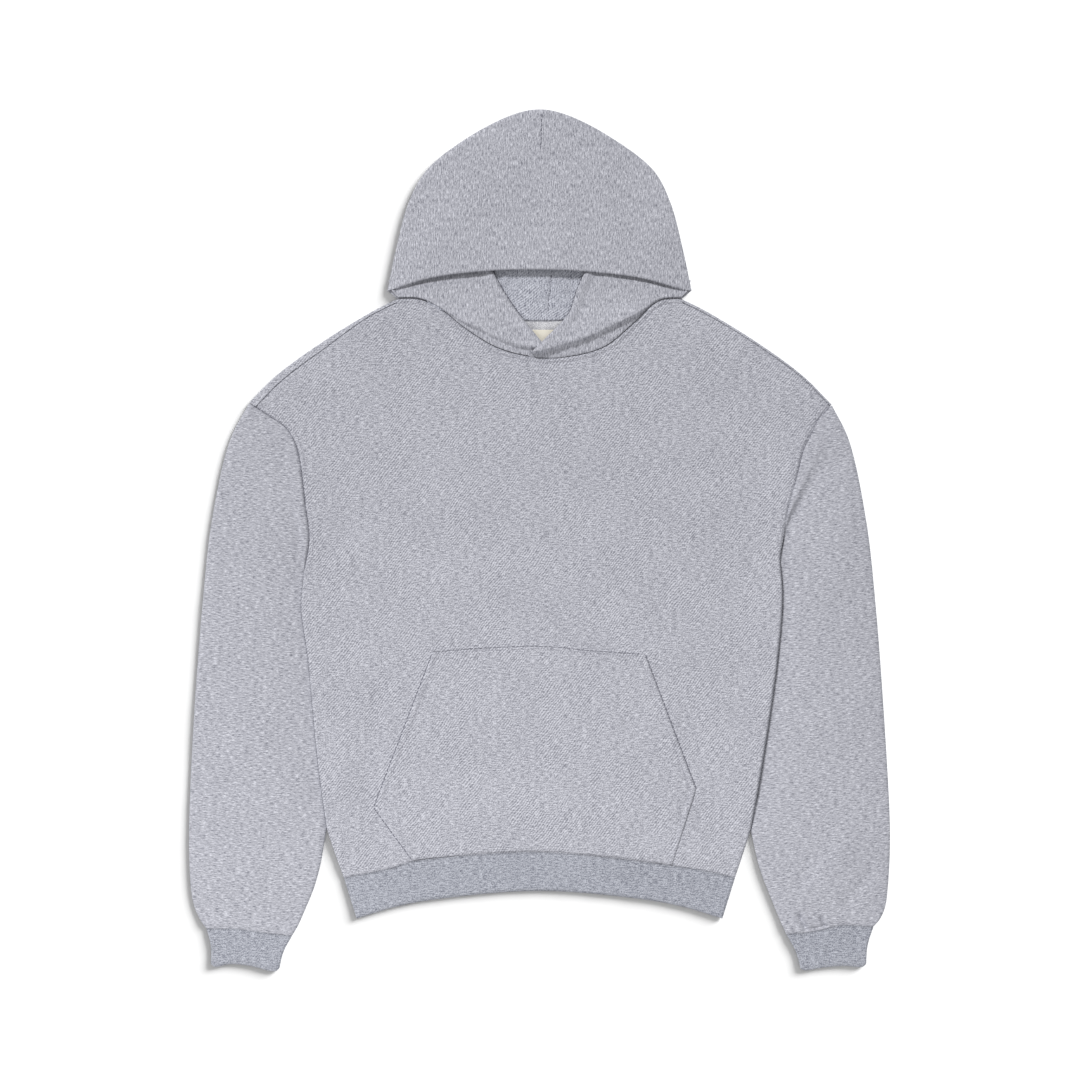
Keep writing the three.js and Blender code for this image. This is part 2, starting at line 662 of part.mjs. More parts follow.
// The lining that shows inside the mouth, lying on the back of the hood
function hoodLining() {
  const fromOutline = domeTop / 2 + cloth;
  const plan = patch({
    bottom: neckRun(liningReach, tapeWidth - tapeBelow + seamGap),
    top: moved(line(hoodOutline.slice(3, -3)), -fromOutline),
    left: line([{ x: -105, y: 254 }, { x: -140, y: 317 }, { x: -134, y: 370 }, { x: -120, y: 402 }]),
    right: line([{ x: 105, y: 254 }, { x: 140, y: 317 }, { x: 134, y: 370 }, { x: 120, y: 402 }]),
  });
  return sheet(plan, 10, 4 * stepsOf.neck * liningReach, () => layer);
}

// A band over the back neck seam
function neckTape() {
  const lowEdge = neckRun(tapeReach, -tapeBelow);
  const highEdge = neckRun(tapeReach, tapeWidth - tapeBelow);
  const plan = (u, v) => mixPoints(lowEdge(u), highEdge(u), v);
  return sheet(plan, 2, 4 * stepsOf.neck * tapeReach, () => layer, thinCloth);
}

function neckLabel() {
  const top = backNeckLine(0.5).y - tapeBelow - seamGap;
  const plan = (u, v) => ({ x: labelSize.width * (u - 0.5), y: top - labelSize.height * (1 - v) });
  return sheet(plan, 2, 4, () => layer, thinCloth);
}

function piece(name, geometry, shade, roughness = 0.95) {
  const material = new THREE.MeshStandardMaterial({ color: shade, roughness, metalness: 0 });
  const mesh = new THREE.Mesh(geometry, material);
  mesh.name = name;
  return mesh;
}

const hoodie = new THREE.Group();
hoodie.add(piece('front_panel', frontPanel(), shades.fleece));
hoodie.add(piece('back_panel', backPanel(), shades.fleece));
for (const side of ['left', 'right']) {
  hoodie.add(piece(`sleeve_${side}`, sleeve(side), shades.fleece));
  hoodie.add(piece(`cuff_${side}`, cuff(side), shades.rib));
}
hoodie.add(piece('hem_rib', hemRib(), shades.rib));
hoodie.add(piece('pocket', pocket(), shades.fleece));
hoodie.add(piece('hood_outer', hood(), shades.fleece));
hoodie.add(piece('hood_lining', hoodLining(), shades.lining));
hoodie.add(piece('neck_tape', neckTape(), shades.tape));
hoodie.add(piece('neck_label', neckLabel(), shades.label));

// The origin goes to the middle of the outline, on the surface
const box = new THREE.Box3().setFromObject(hoodie);
const middle = box.getCenter(new THREE.Vector3());
hoodie.position.set(-middle.x, -middle.y, -box.min.z);

export default hoodie;
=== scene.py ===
# A pullover hoodie in marled grey fleece, laid flat on its back and seen from straight above.
# The tables are in millimetres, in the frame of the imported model. Meshes are made in metres.
import math

import bpy
import numpy as np
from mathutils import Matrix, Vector
from mathutils.bvhtree import BVHTree


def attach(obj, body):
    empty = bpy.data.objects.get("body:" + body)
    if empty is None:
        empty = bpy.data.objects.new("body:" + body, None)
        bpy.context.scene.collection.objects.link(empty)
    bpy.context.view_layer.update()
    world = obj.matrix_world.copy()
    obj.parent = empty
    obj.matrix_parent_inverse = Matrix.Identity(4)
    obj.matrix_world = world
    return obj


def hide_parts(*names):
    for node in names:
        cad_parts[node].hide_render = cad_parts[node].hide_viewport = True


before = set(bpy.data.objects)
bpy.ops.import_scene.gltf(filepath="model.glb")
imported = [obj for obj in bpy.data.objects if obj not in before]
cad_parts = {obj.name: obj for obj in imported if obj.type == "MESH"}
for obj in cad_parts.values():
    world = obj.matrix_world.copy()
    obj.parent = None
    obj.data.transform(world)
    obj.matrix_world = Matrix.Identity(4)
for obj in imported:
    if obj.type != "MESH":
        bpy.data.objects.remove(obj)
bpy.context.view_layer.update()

MM = 0.001
random = np.random.default_rng(7)

# Seams and edges, each from left to right or from the hem up
HEM_SEAM = [(-215, -371), (-165, -361), (-139, -353), (-59, -345), (0, -343),
            (67, -348), (146, -358), (180, -363), (215, -371)]
HEM_EDGE = [(-201, -416), (-154, -402), (-110, -394), (0, -385), (110, -394), (154, -402),
            (201, -416)]
HEM_SIDE = {
    "left": [(-215, -371), (-225, -344), (-234, -317)],
    "right": [(215, -371), (224, -344), (232, -319)],
}
SIDE_FOLD = {
    "left": [(-234, -317), (-244, -242), (-255, -128), (-262, -74), (-259, -36)],
    "right": [(232, -319), (242, -264), (262, -128), (267, -60), (264, -20)],
}
ARMHOLE = {
    "left": [(-259, -36), (-253, 1), (-257, 36), (-267, 102), (-278, 123), (-296, 136), (-319, 151)],
    "right": [(264, -20), (272, 30), (282, 68), (290, 100), (297, 114), (306, 132), (321, 149)],
}
SHOULDER = {
    "left": [(-319, 151), (-290, 180), (-241, 216), (-184, 251), (-156, 265)],
    "right": [(156, 265), (184, 251), (241, 216), (290, 180), (321, 149)],
}
BACK_NECK = [(-156, 265), (-120, 251), (-60, 238), (0, 234), (60, 238), (120, 251), (156, 265)]
FRONT_NECK = [(-156, 265), (-132, 264), (-110, 254), (-79, 230), (-42, 209), (0, 200),
              (32, 201), (72, 212), (103, 237), (131, 262), (156, 265)]
SLEEVE_OUTER = {
    "left": [(-366, -427), (-372, -419), (-379, -404), (-383, -385), (-385, -350), (-385, -308),
             (-380, -198), (-370, -66), (-360, 22), (-340, 110), (-319, 151)],
    "right": [(367, -425), (374, -417), (380, -403), (383, -380), (385, -345), (385, -308),
              (379, -198), (369, -66), (359, 22), (340, 110), (321, 149)],
}
SLEEVE_INNER = {
    "left": [(-272, -435), (-266, -425), (-257, -405), (-248, -383), (-241, -358), (-234, -317)],
    "right": [(271, -433), (263, -415), (254, -393), (242, -361), (232, -319)],
}
CUFF_SEAM = {
    "left": [(-366, -427), (-334, -427), (-298, -432), (-272, -435)],
    "right": [(271, -433), (300, -430), (334, -423), (367, -425)],
}
CUFF_EDGE = {
    "left": [(-361, -466), (-357, -469), (-340, -466), (-318, -468), (-291, -474), (-286, -471)],
    "right": [(287, -471), (291, -473), (311, -470), (334, -468), (355, -469), (359, -466)],
}
HOOD_OUTLINE = [(-167, 274), (-158, 317), (-144, 370), (-125, 405), (-82, 440), (-30, 467), (0, 473),
                (30, 467), (82, 440), (126, 405), (144, 370), (158, 317), (167, 274)]
MOUTH_EDGE = [(-157, 276), (-132, 284), (-103, 290), (-51, 295), (0, 296), (51, 294), (111, 287),
              (142, 279), (157, 275)]
LIP = {
    "left": {
        "seam": (0, 0.54),
        "outer": [(-156, 267), (-163, 275), (-166, 285)],
        "hidden": [(-166, 285), (-130, 297), (-90, 305), (-56, 306)],
        "opening": [(14, 201), (2, 218), (-26, 253), (-44, 281), (-56, 306)],
    },
    "right": {
        "seam": (0.46, 1),
        "opening": [(-13, 202), (7, 222), (25, 240), (33, 250), (41, 274), (55, 305)],
        "hidden": [(55, 305), (90, 304), (130, 296), (166, 285)],
        "outer": [(156, 267), (163, 275), (166, 285)],
    },
}
POCKET = {
    "bottom": [(-140, -351), (-59, -343), (0, -341), (67, -346), (146, -356)],
    "top": [(-118, -123), (-60, -119), (0, -117), (60, -122), (116, -126)],
    "left": [(-140, -351), (-182, -294), (-117, -123)],
    "right": [(146, -356), (172, -274), (116, -126)],
}
# Share of the way from shoulder tip to neck, and how deep the back panel turns over there
SHOULDER_TURN = {
    "left": [(0, 8), (0.5, 7), (0.8, 2.8), (1, 2.8)],
    "right": [(0, 2), (0.5, 2.2), (1, 2.8)],
}
# Depth of the shaded strip between the neck seam and the fold of each lip, by share of the lip's seam
NECK_STAND = {
    "left": [(0, 1), (0.28, 1.2), (0.37, 3), (0.45, 5.3), (0.52, 8.2), (0.66, 9.2), (0.9, 8.8), (1, 7)],
    "right": [(0, 4), (0.06, 5.5), (0.2, 12.5), (0.42, 16.5), (0.52, 15.5), (0.64, 9), (0.71, 5), (0.8, 2),
              (1, 1.5)],
}

# Heights of the layers above the surface
CLOTH = 2.0
RIB_CLOTH = 2.3
GAP = 0.3
SEAM = 0.04
LAYER = CLOTH + GAP
FRONT_TOP = LAYER + CLOTH
CELL = 4.0
SIDES = ("left", "right")
# Ridges and grooves that follow an edge: how far in from it, height, and reach
RIDGES = {
    "front armhole": [(0, -1.7, 1.3), (4.6, -0.25, 0.7)],
    "front hem": [(0, -0.8, 1.0), (11, 0.5, 8)],
    "front shoulder": [(0, -1.4, 1.6)],
    "front neck": [(0, -1.0, 0.8), (2.2, 0.7, 1.4), (4.7, -0.9, 0.8)],
    "sleeve cuff": [(0, -0.8, 1.0), (9, 0.7, 7)],
    "sleeve armhole": [(0, -1.5, 1.3), (4.6, -0.25, 0.7)],
    "band edge": [(6, 0.5, 5)],
    "band seam": [(0, -0.8, 1.0)],
    "pocket side": [(2.8, 0.4, 2.0), (6.2, -0.6, 0.9)],
    "pocket top": [(2.6, -0.3, 0.8)],
    "pocket bottom": [(0, -0.7, 1.2)],
    "lip opening": [(4.5, 1.1, 4.0), (12, -0.5, 5)],
    "lip seam": [(0, -1.2, 1.6)],
    "tape edge": [(1.4, -0.25, 0.6)],
}
EDGE_STOPS = (0.35, 0.8, 1.3, 1.9, 2.6, 3.4, 4.2, 5.0, 6.0, 7.5)


# Lines and patches

def catmull_rom(rows, per_span=24):
    """Points along a smooth line through the rows."""
    p = np.array(rows, float)
    p = np.vstack([2 * p[0] - p[1], p, 2 * p[-1] - p[-2]])
    out = []
    for k in range(1, len(p) - 2):
        a, b, c, d = p[k - 1:k + 3]
        ab, bc, cd = (math.sqrt(np.linalg.norm(q)) for q in (b - a, c - b, d - c))
        tangent_b = ((b - a) / ab - (c - a) / (ab + bc) + (c - b) / bc) * bc
        tangent_c = ((c - b) / bc - (d - b) / (bc + cd) + (d - c) / cd) * bc
        t = np.linspace(0, 1, per_span, endpoint=False)[:, None]
        hermite = ((2 * t**3 - 3 * t**2 + 1) * b + (t**3 - 2 * t**2 + t) * tangent_b
                   + (3 * t**2 - 2 * t**3) * c + (t**3 - t**2) * tangent_c)
        out.append(hermite)
    return np.vstack(out + [p[-2:-1]])


class Line:
    """A line of points, read by share of its length."""

    def __init__(self, points, shares=None):
        self.points = np.asarray(points, float)
        steps = np.linalg.norm(np.diff(self.points, axis=0), axis=1)
        self.length = steps.sum()
        if shares is None:
            shares = np.concatenate([[0], np.cumsum(steps)]) / self.length
        self.shares = np.asarray(shares)

    def __call__(self, share):
        share = np.asarray(share, float)
        columns = [np.interp(share, self.shares, self.points[:, i]) for i in (0, 1)]
        return np.stack(columns, axis=-1)

    def normals(self):
        """Unit vectors across the line, to the left of its direction."""
        along = np.gradient(self.points, axis=0)
        along /= np.linalg.norm(along, axis=1)[:, None]
        return np.stack([-along[:, 1], along[:, 0]], axis=1)

    def moved(self, distance):
        """The line moved to its left by a distance, or by one for each of its points."""
        by = np.broadcast_to(distance, len(self.points))[:, None]
        return Line(self.points + self.normals() * by, self.shares)

    def part(self, start, end, count=200):
        return Line(self(np.linspace(start, end, count)))

    def reversed(self):
        return Line(self.points[::-1], 1 - self.shares[::-1])


def smooth_line(rows):
    return Line(catmull_rom(rows))


def joined(*runs):
    """Lines end to end, each taking its own share of the whole."""
    points, shares, start = [], [], 0
    for line, part in runs:
        points.append(line.points)
        shares.append(start + line.shares * part)
        start += part
    return Line(np.vstack(points), np.concatenate(shares))


def patch(bottom, top, left, right, u, v):
    """Points of a flat patch filled in between four edge lines, as rows of v and columns of u."""
    uu, vv = u[None, :, None], v[:, None, None]
    low, high = bottom(u)[None], top(u)[None]
    near, far = left(v)[:, None], right(v)[:, None]
    corners = ((1 - vv) * ((1 - uu) * low[:, :1] + uu * low[:, -1:])
               + vv * ((1 - uu) * high[:, :1] + uu * high[:, -1:]))
    return (1 - vv) * low + vv * high + (1 - uu) * near + uu * far - corners


def stops(length, cell=CELL, fine_start=True, fine_end=True):
    """Shares across a length, closer together near its ends."""
    inner = list(np.linspace(0, 1, max(3, round(length / cell)) + 1))
    edge = [stop / length for stop in EDGE_STOPS]
    last = edge[-1]
    out = [0.0] + (edge if fine_start else [])
    low = last if fine_start else 0
    high = 1 - last if fine_end else 1
    out += [share for share in inner if low + 0.3 * cell / length < share < high - 0.3 * cell / length]
    out += ([1 - share for share in reversed(edge)] if fine_end else []) + [1.0]
    return np.array(out)


def smooth_step(low, high, value):
    """From 0 at low to 1 at high, also where low is the larger."""
    t = np.clip((value - low) / (high - low), 0, 1)
    return t * t * (3 - 2 * t)


def by_share(rows, share):
    return np.interp(share, [row[0] for row in rows], [row[1] for row in rows])


def reach_to(xy, line, spacing=3.0):
    """For each point: its signed distance to a line, left being positive, and the share along it."""
    count = max(3, int(line.length / spacing))
    shares = np.linspace(0, 1, count + 1)
    p = line(shares)
    flat = xy.reshape(-1, 2)
    best = np.full(len(flat), 1e9)
    side = np.zeros(len(flat))
    along = np.zeros(len(flat))
    for k in range(count):
        a, b = p[k], p[k + 1]
        ab = b - a
        t = np.clip(((flat - a) @ ab) / (ab @ ab), 0, 1)
        gap = flat - (a + t[:, None] * ab)
        distance = np.hypot(gap[:, 0], gap[:, 1])
        nearer = distance < best
        best = np.where(nearer, distance, best)
        cross = ab[0] * (flat[:, 1] - a[1]) - ab[1] * (flat[:, 0] - a[0])
        side = np.where(nearer, np.sign(cross), side)
        along = np.where(nearer, (k + t) / count, along)
    shape = xy.shape[:-1]
    return (best * side).reshape(shape), along.reshape(shape)


def crease_height(xy, creases):
    """Height that a table of creases adds: each has points, a height, and its reach to left and right."""
    total = np.zeros(xy.shape[:-1])
    for points, height, left, right in creases:
        line = smooth_line(points)
        distance, along = reach_to(xy, line, 5.0)
        reach = np.where(distance > 0, left, right)
        ends = smooth_step(0, 0.3, along) * (1 - smooth_step(0.7, 1, along))
        total += height * ends * np.exp(-(distance / reach) ** 2)
    return total


# Meshes

def new_mesh(name, vertices, faces, uv=None):
    mesh = bpy.data.meshes.new(name)
    mesh.from_pydata((np.asarray(vertices) * MM).tolist(), [], [list(map(int, f)) for f in faces])
    mesh.update()
    if uv is not None:
        layer = mesh.uv_layers.new(name="cloth")
        loops = np.empty(len(mesh.loops), dtype=np.int32)
        mesh.loops.foreach_get("vertex_index", loops)
        layer.data.foreach_set("uv", (np.asarray(uv)[loops] * MM).astype(np.float32).ravel())
    mesh.polygons.foreach_set("use_smooth", [True] * len(mesh.polygons))
    obj = bpy.data.objects.new(name, mesh)
    bpy.context.collection.objects.link(obj)
    return obj


def shell(outer, inner, uv, ring=False):
    """Vertices, faces and uv of a closed wall between two grids of points."""
    rows, columns = outer.shape[:2]
    size = rows * columns
    index = np.arange(size).reshape(rows, columns)
    if ring:
        index = np.hstack([index, index[:, :1]])
    a, b, c, d = index[:-1, :-1], index[:-1, 1:], index[1:, 1:], index[1:, :-1]
    quads = np.stack([a, b, c, d], axis=-1).reshape(-1, 4)
    rims = [(index[0, 1:], index[0, :-1]), (index[-1, :-1], index[-1, 1:])]
    if not ring:
        rims += [(index[:-1, 0], index[1:, 0]), (index[1:, -1], index[:-1, -1])]
    faces = [quads, quads[:, ::-1] + size]
    for start, end in rims:
        faces.append(np.stack([start, end, end + size, start + size], axis=-1)[:, ::-1])
    faces = np.vstack(faces)
    vertices = np.vstack([outer.reshape(-1, 3), inner.reshape(-1, 3)])
    tri = vertices[faces]
    volume = np.einsum("ij,ij->i", tri[:, 0], np.cross(tri[:, 1], tri[:, 2])).sum()
    volume += np.einsum("ij,ij->i", tri[:, 0], np.cross(tri[:, 2], tri[:, 3])).sum()
    if volume < 0:
        faces = faces[:, ::-1]
    uv = uv.reshape(-1, 2)
    return vertices, faces, np.vstack([uv, uv])


def merged(shells):
    """Several shells in one list of vertices, faces and uv."""
    vertices, faces, uvs, start = [], [], [], 0
    for v, f, uv in shells:
        vertices.append(v)
        faces.append(f + start)
        uvs.append(uv)
        start += len(v)
    return np.vstack(vertices), np.vstack(faces), np.vstack(uvs)


def with_height(xy, z):
    return np.concatenate([xy, np.broadcast_to(z, xy.shape[:-1])[..., None]], axis=-1)


def rounded_drop(distance, reach, drop):
    """How far a surface has come down at a distance from its rounded edge."""
    t = np.clip(1 - distance / reach, 0, 1)
    return drop * (1 - np.sqrt(1 - t * t))


def ridges(distance, name):
    """Height that a row of ridges and grooves adds at a distance from the edge that they follow."""
    return sum(height * np.exp(-((distance - place) / reach) ** 2) for place, height, reach in RIDGES[name])


def soft_waves(xy, amplitude, shortest, longest, count=14):
    """Gentle unevenness of laid cloth: a few waves of random direction, length and phase."""
    total = np.zeros(xy.shape[:-1])
    for _ in range(count):
        angle, phase = random.uniform(0, math.pi), random.uniform(0, 2 * math.pi)
        length = random.uniform(shortest, longest)
        along = xy[..., 0] * math.cos(angle) + xy[..., 1] * math.sin(angle)
        total += np.sin(2 * math.pi * along / length + phase) * length / longest
    return total * amplitude / math.sqrt(count)


def spans(grid):
    """Length of each row and of each column of a grid of points."""
    wide = np.linalg.norm(grid[:, -1] - grid[:, 0], axis=-1)[:, None]
    long = np.linalg.norm(grid[-1] - grid[0], axis=-1)[None, :]
    return wide, long


def patch_area(bottom, top, left, right):
    """Area inside the four edge lines of a patch."""
    p = np.vstack([line.points for line in (bottom, right, top.reversed(), left.reversed())])
    x, y = p[:, 0], p[:, 1]
    return abs(np.dot(x, np.roll(y, -1)) - np.dot(y, np.roll(x, -1))) / 2


def with_ends(low, high):
    """The edge lines of a patch between two lines, whose sides are straight."""
    return low, high, *[Line([low(share), high(share)]) for share in (0, 1)]


def plate(xy, high, low, uv=None):
    """A closed wall over a patch, between its upper and its lower height."""
    return shell(with_height(xy, high), with_height(xy, low), xy if uv is None else uv)


def turned(xy, degrees):
    c, s = math.cos(math.radians(degrees)), math.sin(math.radians(degrees))
    return np.stack([xy[..., 0] * c + xy[..., 1] * s, xy[..., 1] * c - xy[..., 0] * s], axis=-1)


def cloth_piece(name, shells, material, area):
    """A piece of cloth from its shells, tied to its node. The size of its cut in millimetres, area, is not
    used.
    """
    obj = new_mesh(f"{name}_cloth", *merged(shells))
    obj.data.materials.append(material)
    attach(obj, "root")
    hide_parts(name)
    return obj


# The body

BODY_PARTS = (0.1, 0.5, 0.4)
TOP_PARTS = (0.25, 0.5, 0.25)
FRONT_CREASES = [
    ([(-318, 150), (-260, 153), (-197, 150), (-160, 124)], -1.7, 9, 16),
    ([(314, 140), (270, 122), (222, 128)], -1.3, 12, 20),
    ([(-172, -128), (-180, -200), (-186, -280), (-178, -318), (-146, -346)], -1.9, 9, 13),
    ([(150, -150), (170, -230), (180, -300)], -0.9, 12, 14),
    ([(184, -318), (200, -334), (216, -352)], -1.6, 8, 8),
    ([(-245, -42), (-200, -8), (-150, 30)], 1.4, 12, 18),
    ([(243, -22), (205, 14), (160, 50)], 1.5, 20, 12),
    ([(-70, 150), (-45, 108), (-20, 60)], 0.7, 20, 24),
    ([(190, -150), (206, -220), (215, -290)], 1.2, 16, 14),
    ([(-205, -190), (-216, -250), (-222, -300)], 1.1, 14, 14),
    ([(120, 190), (80, 150), (60, 90)], 0.6, 18, 26),
    ([(-110, 20), (-60, -20), (-30, -80)], 0.5, 24, 20),
]


def body_side(side, trim):
    """The body's edge up one side, ending a little short of the shoulder tip."""
    inward = -SEAM if side == "left" else SEAM
    hole = smooth_line(ARMHOLE[side])
    return joined(
        (smooth_line(HEM_SIDE[side]).moved(inward), BODY_PARTS[0]),
        (smooth_line(SIDE_FOLD[side]).moved(inward), BODY_PARTS[1]),
        (hole.part(0, 1 - trim / hole.length).moved(inward), BODY_PARTS[2]),
    )


def turn_depth(side, share):
    """How deep the back panel turns over the front at a share of the shoulder line."""
    from_tip = share if side == "left" else 1 - share
    return by_share(SHOULDER_TURN[side], from_tip)


def front_shoulder_depth(side, share):
    return turn_depth(side, share) + GAP


def shoulder_edge(side, depth_at):
    """The shoulder line moved in by a depth: along the armhole at its tip, elsewhere square to itself."""
    edge, hole = smooth_line(SHOULDER[side]), smooth_line(ARMHOLE[side])
    from_tip = edge.shares if side == "left" else 1 - edge.shares
    down_hole = hole(0.9) - hole(1)
    down_hole /= np.linalg.norm(down_hole)
    turn = smooth_step(0, 0.17, from_tip)[:, None]
    inward = (1 - turn) * down_hole - turn * edge.normals()
    inward /= np.linalg.norm(inward, axis=1)[:, None]
    return Line(edge.points + inward * depth_at(side, edge.shares)[:, None], edge.shares)


def body_top(neck, depth_at):
    return joined(
        (shoulder_edge("left", depth_at), TOP_PARTS[0]),
        (neck, TOP_PARTS[1]),
        (shoulder_edge("right", depth_at), TOP_PARTS[2]),
    )


# How much higher the front lies in its middle, how far that reaches to each side, and its rise and fall
BODY_LOFT = 1.2
LOFT_REACH = 255
LOFT_RISE = (-365, -300)
LOFT_FALL = (110, 230)


def body_loft(xy):
    """Height of the front's upper face away from its edges."""
    wide = np.clip(1 - (xy[..., 0] / LOFT_REACH) ** 2, 0, 1)
    up = smooth_step(*LOFT_RISE, xy[..., 1]) * (1 - smooth_step(*LOFT_FALL, xy[..., 1]))
    return FRONT_TOP + BODY_LOFT * wide * up


EDGE_RAISE = {"left": 2.0, "right": 4.6}
EDGE_RAISE_REACH = 28


def edge_raise(side, y):
    """How far the body's side stands up over the sleeve beside it."""
    return EDGE_RAISE[side] * smooth_step(-372, -300, y) * (1 - smooth_step(-10, 135, y))


# The small gathers that hang below the neck seam
GATHER_PITCH = 8.5
GATHER_HEIGHT = 0.22
GATHER_REACH = 9


def make_front_panel(material):
    hem = smooth_line(HEM_SEAM).moved(SEAM)
    neck = smooth_line(FRONT_NECK).moved(-SEAM)
    top = body_top(neck, front_shoulder_depth)
    sides = [body_side(side, SHOULDER_TURN[side][0][1]) for side in SIDES]
    u, v = stops(500, 3), stops(620, 3.3)
    xy = patch(hem, top, *sides, u, v)
    wide, long = spans(xy)
    uu, vv = u[None, :], v[:, None]
    from_left, from_right = uu * wide, (1 - uu) * wide
    from_hem = vv * long
    neck_distance, neck_share = reach_to(xy, neck)
    from_neck = np.abs(neck_distance)
    from_top = (1 - vv) * long
    is_fold = 1 - smooth_step(0.57, 0.66, vv)
    is_shoulder = 1 - smooth_step(0.24, 0.26, uu) * (1 - smooth_step(0.74, 0.76, uu))
    z = body_loft(xy) + crease_height(xy, FRONT_CREASES) + soft_waves(xy, 0.3, 35, 130)
    for distance, side in ((from_left, "left"), (from_right, "right")):
        z += edge_raise(side, xy[..., 1]) * np.exp(-(distance / EDGE_RAISE_REACH) ** 2)
        z += (1 - is_fold) * ridges(distance, "front armhole")
    z += ridges(from_hem, "front hem")
    z += is_shoulder * ridges(from_top, "front shoulder")
    gathers = neck_share * neck.length / GATHER_PITCH + 0.6 * np.sin(neck_share * 40)
    z += GATHER_HEIGHT * np.sin(2 * math.pi * gathers) * np.exp(-from_neck / GATHER_REACH)
    z += ridges(from_neck, "front neck")
    lowest = LAYER + 0.3
    for distance in (from_left, from_right):
        z -= is_fold * rounded_drop(distance, 3.0, 1) * (z - lowest)
    inner = np.minimum(z - 0.4, np.maximum(z - CLOTH, LAYER))
    shells = [plate(xy, z, inner)]
    area = patch_area(hem, top, *sides)
    return cloth_piece("front_panel", shells, material, area)


TURN_ANGLES = (-90, -60, -35, -12, 12, 35, 60, 90)
TURN_INSIDE = 0.15
TURN_PUFF = 0.25


def shoulder_strip(side, along):
    """Faces of the back panel where it turns over at a shoulder, outer and inner, and its mean depth."""
    radius = LAYER - TURN_INSIDE

    def row(depth_at, height):
        return with_height(shoulder_edge(side, depth_at)(along), height)

    def bend_row(reach, angle):
        inset = np.full(len(smooth_line(SHOULDER[side]).shares), radius - reach * math.cos(angle))
        return row(lambda _, share: inset, radius + reach * math.sin(angle))

    bend = np.radians(TURN_ANGLES)
    outer = [bend_row(radius, angle) for angle in bend] + [row(turn_depth, 2 * radius + TURN_PUFF)]
    inner = [bend_row(TURN_INSIDE, angle) for angle in bend] + [row(turn_depth, radius + TURN_INSIDE)]
    return np.array(outer), np.array(inner), turn_depth(side, along).mean()


def make_back_panel(material):
    """A flat plate, with a strip of it turned up and over at each shoulder."""
    radius = LAYER - TURN_INSIDE
    hem = smooth_line(HEM_SEAM).moved(SEAM)
    neck = smooth_line(BACK_NECK).moved(-SEAM)
    top = body_top(neck, lambda side, share: np.full(len(share), radius))
    sides = [body_side(side, radius) for side in SIDES]
    u, v = stops(500, 7), stops(620, 7)
    xy = patch(hem, top, *sides, u, v)
    wide, long = spans(xy)
    edge = np.minimum(np.minimum(u * wide, (1 - u) * wide), v[:, None] * long)
    low = rounded_drop(edge, 1.6, 0.9)
    waves = 0.06 * (1 + np.tanh(soft_waves(xy, 1.0, 40, 140))) * (1 - np.exp(-edge / 12))
    shells = [plate(xy, CLOTH, low + waves)]
    turned_area = 0
    for side in SIDES:
        shoulder = smooth_line(SHOULDER[side])
        outer, inner, depth = shoulder_strip(side, stops(shoulder.length))
        shells.append(shell(outer, inner, outer[..., :2]))
        turned_area += shoulder.length * (math.pi * radius / 2 + depth)
    area = patch_area(hem, top, *sides) + turned_area
    return cloth_piece("back_panel", shells, material, area)


# The sleeves

SLEEVE_PARTS = (5 / 23, 10 / 23, 8 / 23)
SLEEVE_TIP = (0.985, 0.9975)
# Heights of a sleeve: its upper face by its edges, what it adds in the middle, and its folded edge
SLEEVE_EDGE_TOP = 4.3
SLEEVE_FULLNESS = 3.6
SLEEVE_FOLD = 2.15
# How deep it dips below its step, and how far it sinks beside the body
SLEEVE_DIP = {"left": 1.0, "right": 2.0}
SLEEVE_SUNK = {"left": 1.2, "right": 3.2}
# The step where each sleeve drops away from the body beside its armhole, from the tip down
SLEEVE_STEP = {
    "left": [(-283, 108), (-276, 86), (-271, 65), (-266, 37), (-261, 11), (-259, -14), (-259, -30)],
    "right": [(320, 124), (311, 104), (299, 78), (284, 46), (272, 21), (266, 0), (264, -20)],
}
SLEEVE_CREASES = {
    "left": [
        ([(-340, 60), (-318, 0), (-302, -90)], 1.1, 20, 15),
        ([(-366, -30), (-340, -70), (-300, -96)], -0.9, 10, 14),
        ([(-356, -238), (-318, -216), (-276, -200)], 1.3, 15, 20),
        ([(-362, -282), (-330, -268), (-290, -276)], -1.2, 9, 12),
        ([(-358, -332), (-330, -350), (-298, -388)], 1.3, 14, 14),
        ([(-374, -356), (-350, -372), (-322, -404)], -1.2, 8, 10),
        ([(-300, -320), (-282, -345), (-272, -380)], -0.9, 8, 12),
        ([(-372, -150), (-330, -140), (-280, -156)], -0.6, 14, 18),
    ],
    "right": [
        ([(342, 64), (330, 0), (318, -80)], 1.2, 16, 20),
        ([(336, 98), (326, 84), (316, 66)], -1.8, 9, 12),
        ([(372, -40), (340, -70), (300, -84)], -0.8, 12, 12),
        ([(362, -210), (320, -196), (282, -204)], 1.1, 18, 14),
        ([(356, -322), (330, -346), (300, -392)], 1.5, 13, 14),
        ([(372, -352), (348, -384), (330, -412)], -1.7, 9, 10),
        ([(322, -338), (296, -362), (276, -400)], -1.5, 9, 12),
        ([(284, -406), (288, -418), (295, -432)], -5.0, 1.8, 1.8),
        ([(290, -408), (294, -418), (300, -428)], 1.4, 2.4, 2.6),
        ([(307, -412), (311, -419), (317, -427)], -4.4, 1.7, 1.7),
        ([(312, -412), (316, -418), (322, -424)], 1.2, 2.2, 2.4),
        ([(290, -428), (304, -426), (318, -423)], -1.6, 1.8, 1.8),
    ],
}


